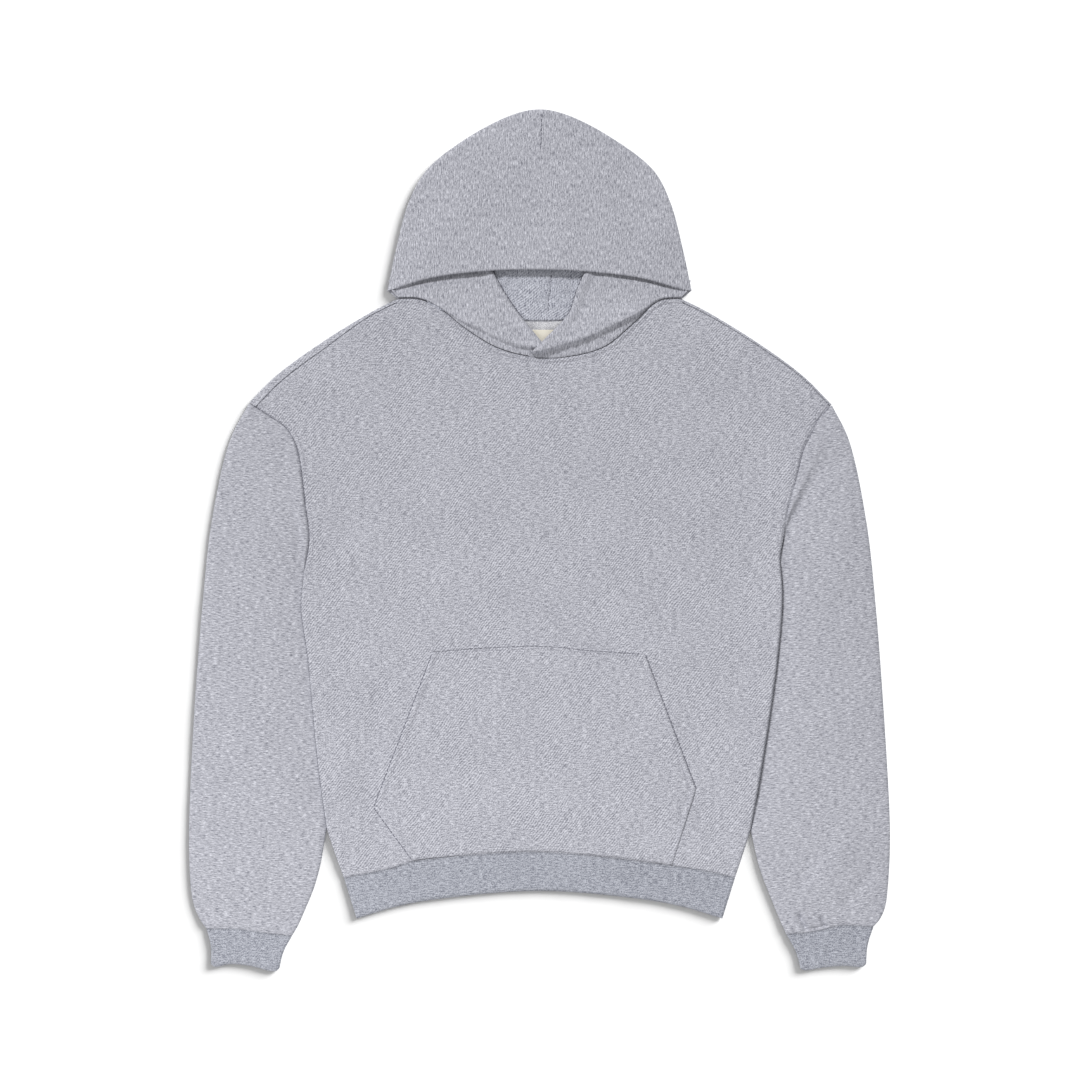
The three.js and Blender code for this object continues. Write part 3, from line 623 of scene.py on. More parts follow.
def sleeve_plan(side):
    """Edge lines of a sleeve: cuff seam, tip, outer fold and inner edge, the first two from the fold in."""
    sign = 1 if side == "left" else -1
    hole = smooth_line(ARMHOLE[side])
    inner = joined(
        (smooth_line(SLEEVE_INNER[side]).moved(SEAM * sign), SLEEVE_PARTS[0]),
        (smooth_line(SIDE_FOLD[side]).moved(SEAM * sign), SLEEVE_PARTS[1]),
        (hole.part(0, SLEEVE_TIP[0]).moved(SEAM * sign), SLEEVE_PARTS[2]),
    )
    outer = smooth_line(SLEEVE_OUTER[side]).part(0, SLEEVE_TIP[1], 500)
    seam = smooth_line(CUFF_SEAM[side]).moved(SEAM)
    if side == "right":
        seam = seam.reversed()
    tip = Line(np.array([outer(1), inner(1)]))
    return seam, tip, outer, inner


def tube_shell(plan, u, v, heights, wall, squeeze):
    """A flattened tube over a patch: heights(xy, u, v) gives its upper and lower faces."""
    xy = patch(*plan, u, v)
    uu, vv = u[None, :], v[:, None]
    upper, lower = heights(xy, uu, vv)
    width = np.linalg.norm(plan[3](0.5) - plan[2](0.5))
    inset = squeeze / width
    inner_xy = patch(*plan, inset + u * (1 - 2 * inset), v)
    middle = (upper + lower) / 2
    inner_upper = np.maximum(upper - wall, middle + 0.06)
    inner_lower = np.minimum(lower + wall, middle - 0.06)
    back = slice(-2, 0, -1)
    outer = np.hstack([with_height(xy, upper), with_height(xy, lower)[:, back]])
    inner = np.hstack([with_height(inner_xy, inner_upper), with_height(inner_xy, inner_lower)[:, back]])
    uv = np.hstack([xy, xy[:, back]])
    return outer, inner, uv


def make_sleeve(side, material):
    plan = sleeve_plan(side)
    step = smooth_line(SLEEVE_STEP[side])
    toward_body_sign = 1 if side == "left" else -1
    dip_depth, sunk = SLEEVE_DIP[side], SLEEVE_SUNK[side]
    u, v = stops(125, 1.9), stops(600, 3.5)
    v = np.unique(np.concatenate([v, np.linspace(0.004, 0.055, 28)]))

    def heights(xy, uu, vv):
        wide, long = spans(xy)
        from_outer, from_inner = uu * wide, (1 - uu) * wide
        from_cuff = vv * long
        at_armhole = smooth_step(0.63, 0.68, vv)
        beside_body = smooth_step(0.2, 0.28, vv) * (1 - at_armhole)
        full = np.sin(math.pi * np.clip(uu, 0, 1)) ** 0.7
        filled = smooth_step(0, 0.1, vv) * (1 - 0.75 * smooth_step(0.66, 0.95, vv))
        upper = SLEEVE_EDGE_TOP + SLEEVE_FULLNESS * full * filled
        upper = upper + (1 - uu) * 1.4 * full
        upper += crease_height(xy, SLEEVE_CREASES[side]) * np.minimum(1, full * 1.6)
        upper += soft_waves(xy, 0.34, 30, 120)
        distance, along = reach_to(xy, step)
        toward_body = distance * toward_body_sign
        shown = smooth_step(0.0, 0.25, along) * at_armhole
        sharpness = 1.0 + 9.0 * (1 - along) ** 1.6
        raised = edge_raise(side, xy[..., 1]) + 0.5
        cap = smooth_step(-1.6, 1.0, toward_body / sharpness)
        near = np.exp(-(np.maximum(toward_body, 0) / 26) ** 2)
        upper += raised * shown * cap * near
        dip = np.exp(-(np.maximum(-toward_body, 0) / 13) ** 2) * (1 - cap)
        upper -= dip_depth * shown * dip
        upper -= beside_body * sunk * np.exp(-(from_inner / 18) ** 2)
        upper += ridges(from_cuff, "sleeve cuff")
        upper += at_armhole * ridges(from_inner, "sleeve armhole")
        lower = 0.25 * (1 + np.tanh(soft_waves(xy, 1.2, 40, 150))) * np.minimum(1, full * 1.5)
        for edge, reach in ((from_outer, 3.8), (from_inner, 3.2)):
            share = 1.0 if edge is from_outer else 1 - 0.75 * at_armhole
            upper = upper - rounded_drop(edge, reach, 1) * (upper - SLEEVE_FOLD) * share
            lower = lower + rounded_drop(edge, reach, 1) * (SLEEVE_FOLD - 0.3 - lower) * share
        upper = np.maximum(upper, lower + 0.2)
        return upper, lower

    outer, inner, uv = tube_shell(plan, u, v, heights, CLOTH, 1.6)
    uv = turned(uv, -4 if side == "left" else 4)
    shells = [shell(outer, inner, uv, ring=True)]
    area = 2 * patch_area(*plan)
    return cloth_piece(f"sleeve_{side}", shells, material, area * 1.02)


# The rib bands

RIB_PITCH = 3.0
RIB_HEIGHT = 0.12
BAND_TOP = 5.2
BAND_CREASES = {
    "hem_rib": [
        ([(-190, -384), (-150, -372), (-100, -370)], -0.7, 8, 8),
        ([(60, -372), (110, -376), (150, -386)], -0.6, 8, 8),
    ],
    "cuff_left": [
        ([(-352, -436), (-318, -442), (-290, -446)], -0.8, 6, 6),
    ],
    "cuff_right": [
        ([(284, -432), (298, -434), (312, -432)], -1.6, 6, 7),
        ([(316, -444), (318, -456), (318, -470)], -1.3, 3, 4),
        ([(338, -426), (346, -440), (352, -452)], -1.0, 8, 8),
    ],
}


def band_side(low, high, centre, bow):
    """A side of a rib band from its folded edge up to its seam, drawn in towards the centre."""
    middle = 0.5 * low + 0.5 * high
    inward = (centre - middle) / np.linalg.norm(centre - middle)
    return smooth_line([low, middle + inward * bow, high])


def make_rib_band(name, seam, edge, material, bow=0.0):
    """A folded band of rib from a seam down to its own folded edge."""
    creases = BAND_CREASES[name]
    top, bottom = seam.moved(-SEAM), edge
    centre = 0.5 * edge(0.5) + 0.5 * seam(0.5)
    left, right = [band_side(edge(share), seam(share), centre, bow) for share in (0, 1)]
    length = seam.length
    ribs = round(length / RIB_PITCH)
    u = np.linspace(0, 1, ribs * 4 + 1)
    u = np.unique(np.concatenate([u, stops(length)]))
    u = u[np.concatenate([[True], np.diff(u) > 0.04 / length])]
    v = stops(45, 3.5, fine_end=False)

    def heights(xy, uu, vv):
        wide, long = spans(xy)
        from_side = np.minimum(uu, 1 - uu) * wide
        from_edge, from_seam = vv * long, (1 - vv) * long
        rib = RIB_HEIGHT * np.cos(2 * math.pi * ribs * uu)
        upper = BAND_TOP + rib * np.minimum(1, from_side / RIB_PITCH)
        upper = upper + crease_height(xy, creases) + soft_waves(xy, 0.25, 18, 70)
        upper += ridges(from_edge, "band edge") + ridges(from_seam, "band seam")
        lower = 0.15 - rib
        edge_distance = np.minimum(from_side, from_edge)
        drop = rounded_drop(edge_distance, 3.2, 1)
        upper = upper - drop * (upper - 2.6)
        lower = lower + drop * (2.3 - lower)
        return upper, lower

    plan = (bottom, top, left, right)
    outer, inner, uv = tube_shell(plan, u, v, heights, RIB_CLOTH, 1.8)
    shells = [shell(outer, inner, uv, ring=True)]
    area = 2 * patch_area(*plan)
    return cloth_piece(name, shells, material, area * 1.03)


# The pocket

POCKET_RISE = 1.9
POCKET_CREASES = [
    ([(-96, -150), (-60, -190), (-20, -205)], 0.6, 22, 18),
    ([(150, -300), (128, -316), (96, -322)], -0.9, 12, 12),
    ([(-160, -290), (-132, -310), (-96, -318)], 0.8, 14, 12),
    ([(100, -140), (86, -190), (92, -240)], 0.5, 20, 26),
]


def straight_line(rows, rounding=2.0):
    """A line through the rows with straight runs and small rounded corners."""
    rows = np.array(rows, float)
    points = [rows[0]]
    for before, corner, after in zip(rows, rows[1:], rows[2:]):
        back, on = before - corner, after - corner
        back *= rounding / np.linalg.norm(back)
        on *= rounding / np.linalg.norm(on)
        for t in np.linspace(0, 1, 7):
            points.append(corner + (1 - t) ** 2 * back + t ** 2 * on)
    points.append(rows[-1])
    return Line(np.array(points))


def pocket_lines():
    sides = [straight_line(POCKET[side]) for side in SIDES]
    return smooth_line(POCKET["bottom"]), smooth_line(POCKET["top"]), *sides


def make_pocket(material):
    plan = pocket_lines()
    u, v = stops(310), stops(225)
    xy = patch(*plan, u, v)
    sides = [np.abs(reach_to(xy, line)[0]) for line in plan[2:]]
    long = spans(xy)[1]
    from_bottom, from_top = v[:, None] * long, (1 - v[:, None]) * long
    base = body_loft(xy) + crease_height(xy, FRONT_CREASES)
    z = base + POCKET_RISE + crease_height(xy, POCKET_CREASES) + soft_waves(xy, 0.3, 35, 120)
    for distance in sides:
        z += ridges(distance, "pocket side")
    z += ridges(from_top, "pocket top") + ridges(from_bottom, "pocket bottom")
    edge = np.minimum(np.minimum(*sides), from_top)
    z -= rounded_drop(edge, 1.6, 1) * (z - base - 0.25)
    inner = np.minimum(z - 0.2, base + 0.2)
    shells = [plate(xy, z, inner)]
    area = patch_area(*plan)
    return cloth_piece("pocket", shells, material, area)


# The hood: a dome and its back layer, folded at the outline, and two lips below the dome's mouth

DOME_MIDDLE = 15.5
DOME_SIDE = 10.4
DOME_BACK = 8.6
HOOD_FOLD = 4.2
CROWN_X = 0.5
CROWN_RISE = (392, 425)
DOME_CREASES = [
    ([(-120, 300), (-100, 350), (-60, 392)], 0.9, 18, 26),
    ([(30, 300), (24, 330), (40, 380)], 0.8, 16, 22),
    ([(96, 296), (104, 340), (84, 392)], -1.1, 16, 20),
    ([(-52, 300), (-44, 330), (-50, 366)], -0.7, 14, 16),
    ([(118, 330), (110, 380), (80, 420)], -0.9, 12, 18),
    ([(-30, 452), (0, 432), (40, 446)], 0.6, 14, 18),
]


def dome_top(u, v):
    """Height of the dome's upper face away from its edges: highest at the middle of the mouth."""
    arch = np.clip(1 - (2 * u - 1) ** 2, 0, 1) ** 0.55
    mouth = DOME_SIDE + (DOME_MIDDLE - DOME_SIDE) * arch
    back = DOME_BACK + 1.8 * arch
    return mouth + (back - mouth) * smooth_step(0, 0.85, v)


def make_hood_outer(material):
    outline, mouth = smooth_line(HOOD_OUTLINE), smooth_line(MOUTH_EDGE)
    dome_plan = with_ends(mouth, outline)
    u, v = stops(420, 3.6), stops(175, 3.6)
    xy = patch(*dome_plan, u, v)
    uu, vv = u[None, :], v[:, None]
    from_mouth = np.abs(reach_to(xy, mouth)[0])
    from_outline = np.abs(reach_to(xy, outline)[0])
    z = dome_top(uu, vv) + crease_height(xy, DOME_CREASES) + soft_waves(xy, 0.4, 35, 120)
    from_crown = np.abs(xy[..., 0] - CROWN_X)
    at_crown = smooth_step(*CROWN_RISE, xy[..., 1])
    crown = np.exp(-from_crown ** 2) * at_crown
    puffed = np.exp(-((from_crown - 3.2) / 2) ** 2) * at_crown
    z += 0.35 * puffed - crown - 2.8 * np.exp(-(from_outline / 24) ** 2)
    mouth_wall = 2.0 + 2.0 * np.exp(-from_mouth / 16)
    under = z - mouth_wall
    z -= rounded_drop(from_mouth, 2.6, 1) * mouth_wall * 0.55
    under += rounded_drop(from_mouth, 1.6, 1) * mouth_wall * 0.3
    z -= rounded_drop(from_outline, 6.0, 1) * (z - HOOD_FOLD)
    under = np.minimum(np.maximum(under, 2.6), z - 0.4)
    shells = [plate(xy, z, under, xy[..., ::-1])]

    back_plan = with_ends(smooth_line(BACK_NECK).moved(SEAM), outline)
    u, v = stops(420, 7), stops(225, 7)
    xy = patch(*back_plan, u, v)
    from_outline = (1 - v[:, None]) * spans(xy)[1]
    low = rounded_drop(from_outline, 6.0, 1) * (HOOD_FOLD - 0.8)
    high = np.maximum(CLOTH, low + 0.4)
    shells.append(plate(xy, high, low, xy[..., ::-1]))

    lips_area = 0
    for side in SIDES:
        lip, area = lip_shell(side)
        shells.append(lip)
        lips_area += area
    area = patch_area(*dome_plan) + patch_area(*back_plan) + lips_area
    return cloth_piece("hood_outer", shells, material, area)


def lip_plan(side):
    rows = LIP[side]
    seam = smooth_line(FRONT_NECK).moved(SEAM).part(*rows["seam"], 300)
    hidden = smooth_line(rows["hidden"])
    opening, outer = smooth_line(rows["opening"]), smooth_line(rows["outer"])
    if side == "left":
        return seam, hidden, outer, opening
    return seam, hidden, opening, outer


# Heights of a lip: its low strip at the seam, its face, what its fold adds, and what its opening adds
LIP_STRIP = 4.9
LIP_FACE = 6.6
LIP_FOLD = 4.4
LIP_OVER = {"left": 0.4, "right": 3.2}
LIP_RIB_PITCH = 4.6


def lip_top(side, xy, seam, opening):
    """Height of a lip's upper face: a low strip above the neck seam, then the fold that stands over it."""
    distance, share = reach_to(xy, seam, 2.0)
    distance = np.abs(distance)
    from_opening = np.abs(reach_to(xy, opening)[0])
    depth = by_share(NECK_STAND[side], share)
    shown = smooth_step(2.0, 5.0, depth)
    ribs = 2 * math.pi * (share * seam.length / LIP_RIB_PITCH + 0.7 * np.sin(share * 23))
    low = LIP_STRIP + 0.5 * np.sin(ribs) * np.exp(-distance / 14) + 0.12 * distance
    fold = LIP_FOLD * np.exp(-(np.maximum(distance - depth, 0) / 15) ** 2)
    high = LIP_FACE + LIP_OVER[side] * np.exp(-(from_opening / 60) ** 2) + fold * shown
    rise = smooth_step(-1.0, 1.2, distance - depth)
    z = low + (high - low) * rise
    z += ridges(from_opening, "lip opening") * rise
    z += 2.2 * np.exp(-(from_opening / 9) ** 2) * smooth_step(250, 298, xy[..., 1])
    return z, distance, from_opening


LIP_CREASES = {
    "left": [
        ([(-120, 262), (-88, 266), (-58, 284)], -0.9, 8, 10),
        ([(-84, 238), (-60, 248), (-40, 262)], 0.6, 8, 10),
        ([(-40, 214), (-22, 226), (-12, 236)], -0.6, 5, 6),
    ],
    "right": [
        ([(122, 268), (92, 262), (64, 280)], -1.0, 10, 8),
        ([(90, 240), (66, 244), (44, 258)], 0.7, 9, 8),
        ([(24, 210), (34, 222), (50, 230)], -0.7, 5, 6),
    ],
}


def lip_shell(side):
    """The closed wall of a lip, and the area of its cut."""
    plan = lip_plan(side)
    seam = plan[0]
    opening = plan[3] if side == "left" else plan[2]
    length = 200 if side == "left" else 180
    u, v = stops(length, 2.2), stops(75, 2.2)
    xy = patch(*plan, u, v)
    z, distance, from_opening = lip_top(side, xy, seam, opening)
    z += crease_height(xy, LIP_CREASES[side]) * smooth_step(6, 14, distance)
    z += soft_waves(xy, 0.25, 25, 90)
    below_mouth = -reach_to(xy, smooth_line(MOUTH_EDGE))[0]
    tucked = smooth_step(4.2, 0.6, below_mouth)
    z -= tucked * 2.2
    z += ridges(distance, "lip seam")
    under = z - 2.6
    rounded = rounded_drop(from_opening, 2.6, 1)
    z -= rounded * 1.7
    under = np.minimum(under, z - 0.5)
    lowest = 3.3 + 1.2 * smooth_step(0, 5, distance)
    under = np.maximum(under, lowest)
    z = np.maximum(z, under + 0.3)
    return plate(xy, z, under, xy[..., ::-1]), patch_area(*plan) * 1.06


# Heights of the upper faces of the lining, the tape and the label, and the size of the label
LINING_TOP = 4.0
TAPE_TOP = 3.5
LABEL_TOP = 3.15
LABEL_SIZE = (44, 16)
LINING_CREASES = [
    ([(13.5, 302), (13.5, 290), (12, 274), (9.5, 256), (9, 246)], -1.5, 1.3, 1.3),
    ([(12, 279), (20, 276), (30, 274)], 0.8, 3, 3),
    ([(-32, 300), (-36, 290), (-43, 280)], 1.8, 4, 2.5),
    ([(40, 300), (37, 284), (32, 268)], -1.4, 4, 4),
    ([(-20, 262), (0, 252), (22, 250)], -0.5, 6, 6),
]


def make_hood_lining(material):
    """The lining where it lies on the hood's back layer, behind the lips."""
    neck = smooth_line([(-118, 254), (-60, 245), (0, 241.5), (60, 245), (118, 254)])
    outline = smooth_line(HOOD_OUTLINE).part(0.06, 0.94, 500).moved(-6)
    plan = with_ends(neck, outline)
    u, v = stops(300, 1.8), stops(200, 2.6)
    xy = patch(*plan, u, v)
    from_neck = v[:, None] * spans(xy)[1]
    z = LINING_TOP + crease_height(xy, LINING_CREASES) + soft_waves(xy, 0.3, 20, 70)
    z -= rounded_drop(from_neck, 1.2, 0.8)
    z = np.maximum(z, LAYER + 0.4)
    shells = [plate(xy, z, LAYER, xy[..., ::-1])]
    return cloth_piece("hood_lining", shells, material, patch_area(*plan))


def make_neck_tape(material):
    """Twill tape over the back neck seam."""
    seam = smooth_line(BACK_NECK).part(1 / 3, 2 / 3, 200)
    u = np.linspace(0, 1, 121)
    v = np.linspace(0, 1, 11)
    xy = patch(*with_ends(seam.moved(-3), seam.moved(6)), u, v)
    edge = np.minimum(v, 1 - v)[:, None] * 9
    z = TAPE_TOP + 0.12 * np.cos(2 * math.pi * (u[None, :] * 107 + v[:, None] * 9) / 2.4)
    z = z - rounded_drop(edge, 1.0, 0.6) + ridges(edge, "tape edge")
    shells = [plate(xy, z, LAYER)]
    return cloth_piece("neck_tape", shells, material, 108 * 9)


def make_neck_label(material):
    """A plain woven label, folded at its sides."""
    width, height = LABEL_SIZE
    middle = smooth_line(BACK_NECK)(0.5)
    u, v = stops(width, 2), stops(height, 1.6)
    x = middle[0] + (u - 0.5) * width
    y = middle[1] - 2.8 - (1 - v) * height
    xy = np.stack(np.meshgrid(x, y), axis=-1)
    from_side = np.minimum(u, 1 - u)[None, :] * width
    from_end = np.minimum(v, 1 - v)[:, None] * height
    edge = np.minimum(from_side, from_end)
    z = LABEL_TOP - rounded_drop(edge, 0.7, 0.5) + soft_waves(xy, 0.05, 8, 30)
    shells = [plate(xy, z, LAYER)]
    return cloth_piece("neck_label", shells, material, width * height)


# Stitches, and dark threads that paint the shade in seams and along edges, with how far each row is from
# its own seam

NECK_STITCHES = 4.7
ARMHOLE_STITCHES = 4.8
POCKET_STITCHES = 6.2
POCKET_TOP_STITCHES = 2.6
POCKET_EDGE_OUT = 0.434
POCKET_TOP_EDGE_OUT = 0.25
# How much of each side of the pocket has a painted shade line along its edge, and the radius of the threads
# that paint the shade
POCKET_SHADE_SIDES = {"left": POCKET["left"], "right": POCKET["right"][1:]}
SHADE_THREAD_RADIUS = {
    "pocket": 0.55, "pocket top": 0.42, "armhole": 0.35, "lining": 0.4, "crown": 0.5, "lip": 0.55,
}
LINING_SEAM = [(13.5, 297), (13, 286), (11.5, 272), (9.5, 256), (9, 247)]
CROWN_SEAM = [(2.5, 468), (2.0, 446), (0.5, 424)]
# The stretch of each lip's opening that lies on the lining, where a dark thread paints the shade under the
# lip
LIP_SHADE_SHOWN = {"left": (0.42, 0.93), "right": (0.49, 0.93)}
LIP_EDGE_OUT = 0.5


def make_stitches(name, line, surface, material, length=2.9, gap=0.7, thread=0.42, wander=0.12):
    """Short threads laid end to end along a line, each a little bowed down into the cloth."""
    count = int(line.length / (length + gap))
    turns, sections = 6, 5
    angles = np.linspace(0, 2 * math.pi, turns, endpoint=False)
    vertices, faces = [], []
    along_cuts = np.linspace(0, 1, sections)
    for k in range(count):
        start = k * (length + gap) / line.length
        shares = start + along_cuts * length / line.length
        points = line(shares)
        points = points + random.uniform(-wander, wander, 2)
        z = surface(points) + thread * 0.35 - 0.45 * (2 * along_cuts - 1) ** 2
        direction = points[-1] - points[0]
        direction /= np.linalg.norm(direction)
        across = np.array([-direction[1], direction[0]])
        radius = thread * np.array([0.35, 0.9, 1.0, 0.9, 0.35])
        base = len(vertices)
        for i in range(sections):
            for angle in angles:
                side = across * radius[i] * math.cos(angle)
                vertices.append((*(points[i] + side), z[i] + radius[i] * 0.8 * math.sin(angle)))
        for i in range(sections - 1):
            for j in range(turns):
                a, b = base + i * turns + j, base + i * turns + (j + 1) % turns
                faces.append((a, b, b + turns, a + turns))
        faces.append(tuple(base + j for j in reversed(range(turns))))
        faces.append(tuple(base + (sections - 1) * turns + j for j in range(turns)))
    obj = new_mesh(name, vertices, faces, np.array(vertices)[:, :2])
    obj.data.materials.append(material)
    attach(obj, "root")
    return obj


def make_shade_thread(name, line, surface, radius):
    """A dark thread that paints the shade in a seam or along an edge."""
    make_stitches(name, line, surface, shade_thread_cloth, length=5.0, gap=0.1, thread=radius, wander=0.05)


def surface_of(obj):
    """Height of a piece's upper face at points in millimetres, by casting rays down on it."""
    mesh = obj.data
    tree = BVHTree.FromPolygons([v.co for v in mesh.vertices], [p.vertices[:] for p in mesh.polygons])

    def height(points):
        found = []
        for x, y in points:
            hit = tree.ray_cast(Vector((x * MM, y * MM, 0.05)), Vector((0, 0, -1)))
            found.append(hit[0].z / MM if hit[0] is not None else np.nan)
        found = np.array(found)
        known = np.isfinite(found)
        return np.where(known, found, found[known].mean() if known.any() else 5.0)

    return height


# Materials

def new_material(name):
    material = bpy.data.materials.new(name)
    material.use_nodes = True
    tree = material.node_tree
    tree.nodes.clear()
    output = tree.nodes.new("ShaderNodeOutputMaterial")
    shader = tree.nodes.new("ShaderNodeBsdfPrincipled")
    tree.links.new(shader.outputs["BSDF"], output.inputs["Surface"])
    return material, tree, shader


def feed(tree, socket, value):
    """Link a socket to another node's, or give it a value."""
    if isinstance(value, bpy.types.NodeSocket):
        tree.links.new(value, socket)
    else:
        socket.default_value = value


def node(tree, kind, inputs=None, **settings):
    made = tree.nodes.new(kind)
    for key, value in settings.items():
        setattr(made, key, value)
    for key, value in (inputs or {}).items():
        feed(tree, made.inputs[key], value)
    return made


def cloth_coordinates(tree):
    return node(tree, "ShaderNodeUVMap", uv_map="cloth").outputs["UV"]


def stretched_noise(tree, uv, size, detail=2.0, roughness=0.5, offset=(0, 0)):
    """Noise whose grains have a length and a width in millimetres."""
    scaled = node(tree, "ShaderNodeMapping", {
        "Vector": uv,
        "Location": (offset[0], offset[1], 0),
        "Scale": (1 / (size[0] * MM), 1 / (size[1] * MM), 1),
    })
    noise = node(tree, "ShaderNodeTexNoise", {
        "Vector": scaled.outputs["Vector"], "Scale": 1.0, "Detail": detail, "Roughness": roughness,
    }, noise_dimensions="2D")
    return noise.outputs["Fac"]


def ramp(tree, value, low, high, to_low=0.0, to_high=1.0):
    return node(tree, "ShaderNodeMapRange", {
        "Value": value, "From Min": low, "From Max": high, "To Min": to_low, "To Max": to_high,
    }, interpolation_type="SMOOTHSTEP").outputs["Result"]


def math_node(tree, operation, a, b):
    made = tree.nodes.new("ShaderNodeMath")
    made.operation = operation
    feed(tree, made.inputs[0], a)
    feed(tree, made.inputs[1], b)
    return made.outputs[0]


def total(tree, *terms):
    """Sum of (value, weight) terms."""
    result = 0.0
    for value, weight in terms:
        result = math_node(tree, "ADD", math_node(tree, "MULTIPLY", value, weight), result)
    return result


def colour_mix(tree, fac, low, high):
    mix = tree.nodes.new("ShaderNodeMix")
    mix.data_type = "RGBA"
    tree.links.new(fac, mix.inputs["Factor"])
    for socket, value in ((mix.inputs[6], low), (mix.inputs[7], high)):
        feed(tree, socket, value if isinstance(value, bpy.types.NodeSocket) else (*value, 1))
    return mix.outputs[2]


def finished(tree, shader, colour, roughness, specular, sheen=0.0):
    """Give the shader its colour and finish."""
    tree.links.new(colour, shader.inputs["Base Color"])
    shader.inputs["Roughness"].default_value = roughness
    shader.inputs["Specular IOR Level"].default_value = specular
    shader.inputs["Sheen Weight"].default_value = sheen


def bumped(tree, shader, height, strength, distance):
    bump = node(tree, "ShaderNodeBump", {
        "Strength": strength, "Distance": distance * MM, "Height": height,
    })
    tree.links.new(bump.outputs["Normal"], shader.inputs["Normal"])


def knit_relief(tree, uv, course=1.5, wale=1.25):
    """The small columns of stitches of a fine knit, as a height from 0 to 1."""
    split = node(tree, "ShaderNodeSeparateXYZ", {"Vector": uv})
    wale_phase = math_node(tree, "MULTIPLY", split.outputs["X"], 2 * math.pi / (wale * MM))
    course_phase = math_node(tree, "MULTIPLY", split.outputs["Y"], 2 * math.pi / (course * MM))
    across = math_node(tree, "SINE", wale_phase, 0.0)
    along = math_node(tree, "SINE", course_phase, 0.0)
    dots = math_node(tree, "MULTIPLY", across, along)
    return math_node(tree, "ADD", math_node(tree, "MULTIPLY", dots, 0.25), 0.5)


def diagonal_ribs(tree, uv, pitch=2.6, turn=-52):
    """Fine slanting ribs that come and go in patches, from -1 to 1."""
    drift = stretched_noise(tree, uv, (26, 22), detail=1, offset=(6, 3))
    place = node(tree, "ShaderNodeMapping", {"Vector": uv, "Rotation": (0, 0, math.radians(turn))})
    split = node(tree, "ShaderNodeSeparateXYZ", {"Vector": place.outputs["Vector"]})
    phase = total(tree, (split.outputs["Y"], 2 * math.pi / (pitch * MM)), (drift, 9.0))
    wave = math_node(tree, "SINE", phase, 0.0)
    where = stretched_noise(tree, uv, (34, 48), detail=1, offset=(2, 8))
    shown = ramp(tree, where, 0.42, 0.6, 0.25, 1.0)
    return math_node(tree, "MULTIPLY", wave, shown)


def heather(name, pale, mid, dark, sheen=0.3, relief=0.5, spread=0.32,
            streaked=0.8, ribbed=0.15, specked=1.1, fleck=1.9):
    """Marled knit: pale and dark fibres mixed in short streaks along its courses, and a soft nap."""
    material, tree, shader = new_material(name)
    uv = cloth_coordinates(tree)
    streaks = stretched_noise(tree, uv, (5.2, 1.05), detail=1, roughness=0.6)
    long_streaks = stretched_noise(tree, uv, (11, 1.3), detail=1, offset=(3, 7))
    flecks = stretched_noise(tree, uv, (fleck, 0.85), detail=2, roughness=0.7, offset=(11, 5))
    fine = stretched_noise(tree, uv, (0.95, 0.7), detail=1, roughness=0.6, offset=(1, 9))
    patches = stretched_noise(tree, uv, (70, 50), detail=2, offset=(4, 2))
    ribs = diagonal_ribs(tree, uv)
    marl = (
        (streaks, streaked),
        (long_streaks, 0.4 * streaked),
        (flecks, 0.8),
        (fine, specked),
        (patches, 0.08),
    )
    value = total(tree, *marl, (ribs, ribbed))
    middle = sum(weight for _, weight in marl) / 2
    darker = ramp(tree, value, middle - spread, middle)
    paler = ramp(tree, value, middle, middle + spread)
    colour = colour_mix(tree, paler, colour_mix(tree, darker, dark, mid), pale)
    finished(tree, shader, colour, roughness=0.95, specular=0.12, sheen=sheen)
    shader.inputs["Sheen Roughness"].default_value = 0.6
    shader.inputs["Sheen Tint"].default_value = (0.86, 0.88, 0.96, 1)
    height = total(tree, (flecks, 0.5), (fine, 0.6), (streaks, 0.35), (ribs, 0.12))
    bumped(tree, shader, height, relief, 0.5)
    return material


def plain_weave(name, light, dark, pitch, sheen):
    """A small woven cloth with specks of a darker yarn."""
    material, tree, shader = new_material(name)
    uv = cloth_coordinates(tree)
    specks = stretched_noise(tree, uv, (pitch * 1.6, pitch * 0.9), detail=2, roughness=0.7)
    soft = stretched_noise(tree, uv, (14, 9), detail=1)
    weave = knit_relief(tree, uv, pitch, pitch)
    value = total(tree, (specks, 0.8), (soft, 0.2))
    colour = colour_mix(tree, ramp(tree, value, 0.42, 0.58), dark, light)
    finished(tree, shader, colour, roughness=0.85, specular=0.15, sheen=sheen)
    bumped(tree, shader, total(tree, (weave, 0.7), (specks, 0.3)), 0.5, 0.3)
    return material


def floor_material():
    material, tree, shader = new_material("floor")
    place = node(tree, "ShaderNodeTexCoord").outputs["Object"]
    grain = node(tree, "ShaderNodeTexNoise", {"Vector": place, "Scale": 60.0, "Detail": 3.0})
    colour = colour_mix(tree, grain.outputs["Fac"], (0.93, 0.93, 0.93), (0.95, 0.95, 0.95))
    finished(tree, shader, colour, roughness=0.9, specular=0.1)
    return material


# Build everything

FLEECE_SHADES = ((0.62, 0.625, 0.68), (0.375, 0.378, 0.42), (0.17, 0.173, 0.205))
fleece = heather("fleece", *FLEECE_SHADES)
sleeve_fleece = heather("sleeve fleece", *FLEECE_SHADES, spread=0.43, streaked=1.1, ribbed=0.03,
                        specked=0.5, fleck=2.7)
hood_fleece = heather("hood fleece", *FLEECE_SHADES, spread=0.38, streaked=1.0, ribbed=0.03,
                      specked=0.55, fleck=2.3)
lining = heather("lining", (0.62, 0.635, 0.7), (0.385, 0.395, 0.445), (0.15, 0.155, 0.195), sheen=0.2)
rib_cloth = heather("rib", (0.48, 0.495, 0.55), (0.298, 0.308, 0.35), (0.14, 0.147, 0.18),
                    spread=0.28, ribbed=0.04)
tape_cloth = plain_weave("tape", (0.66, 0.66, 0.68), (0.34, 0.34, 0.37), 0.9, 0.1)
label_cloth = plain_weave("label", (0.78, 0.74, 0.65), (0.72, 0.68, 0.58), 0.5, 0.05)
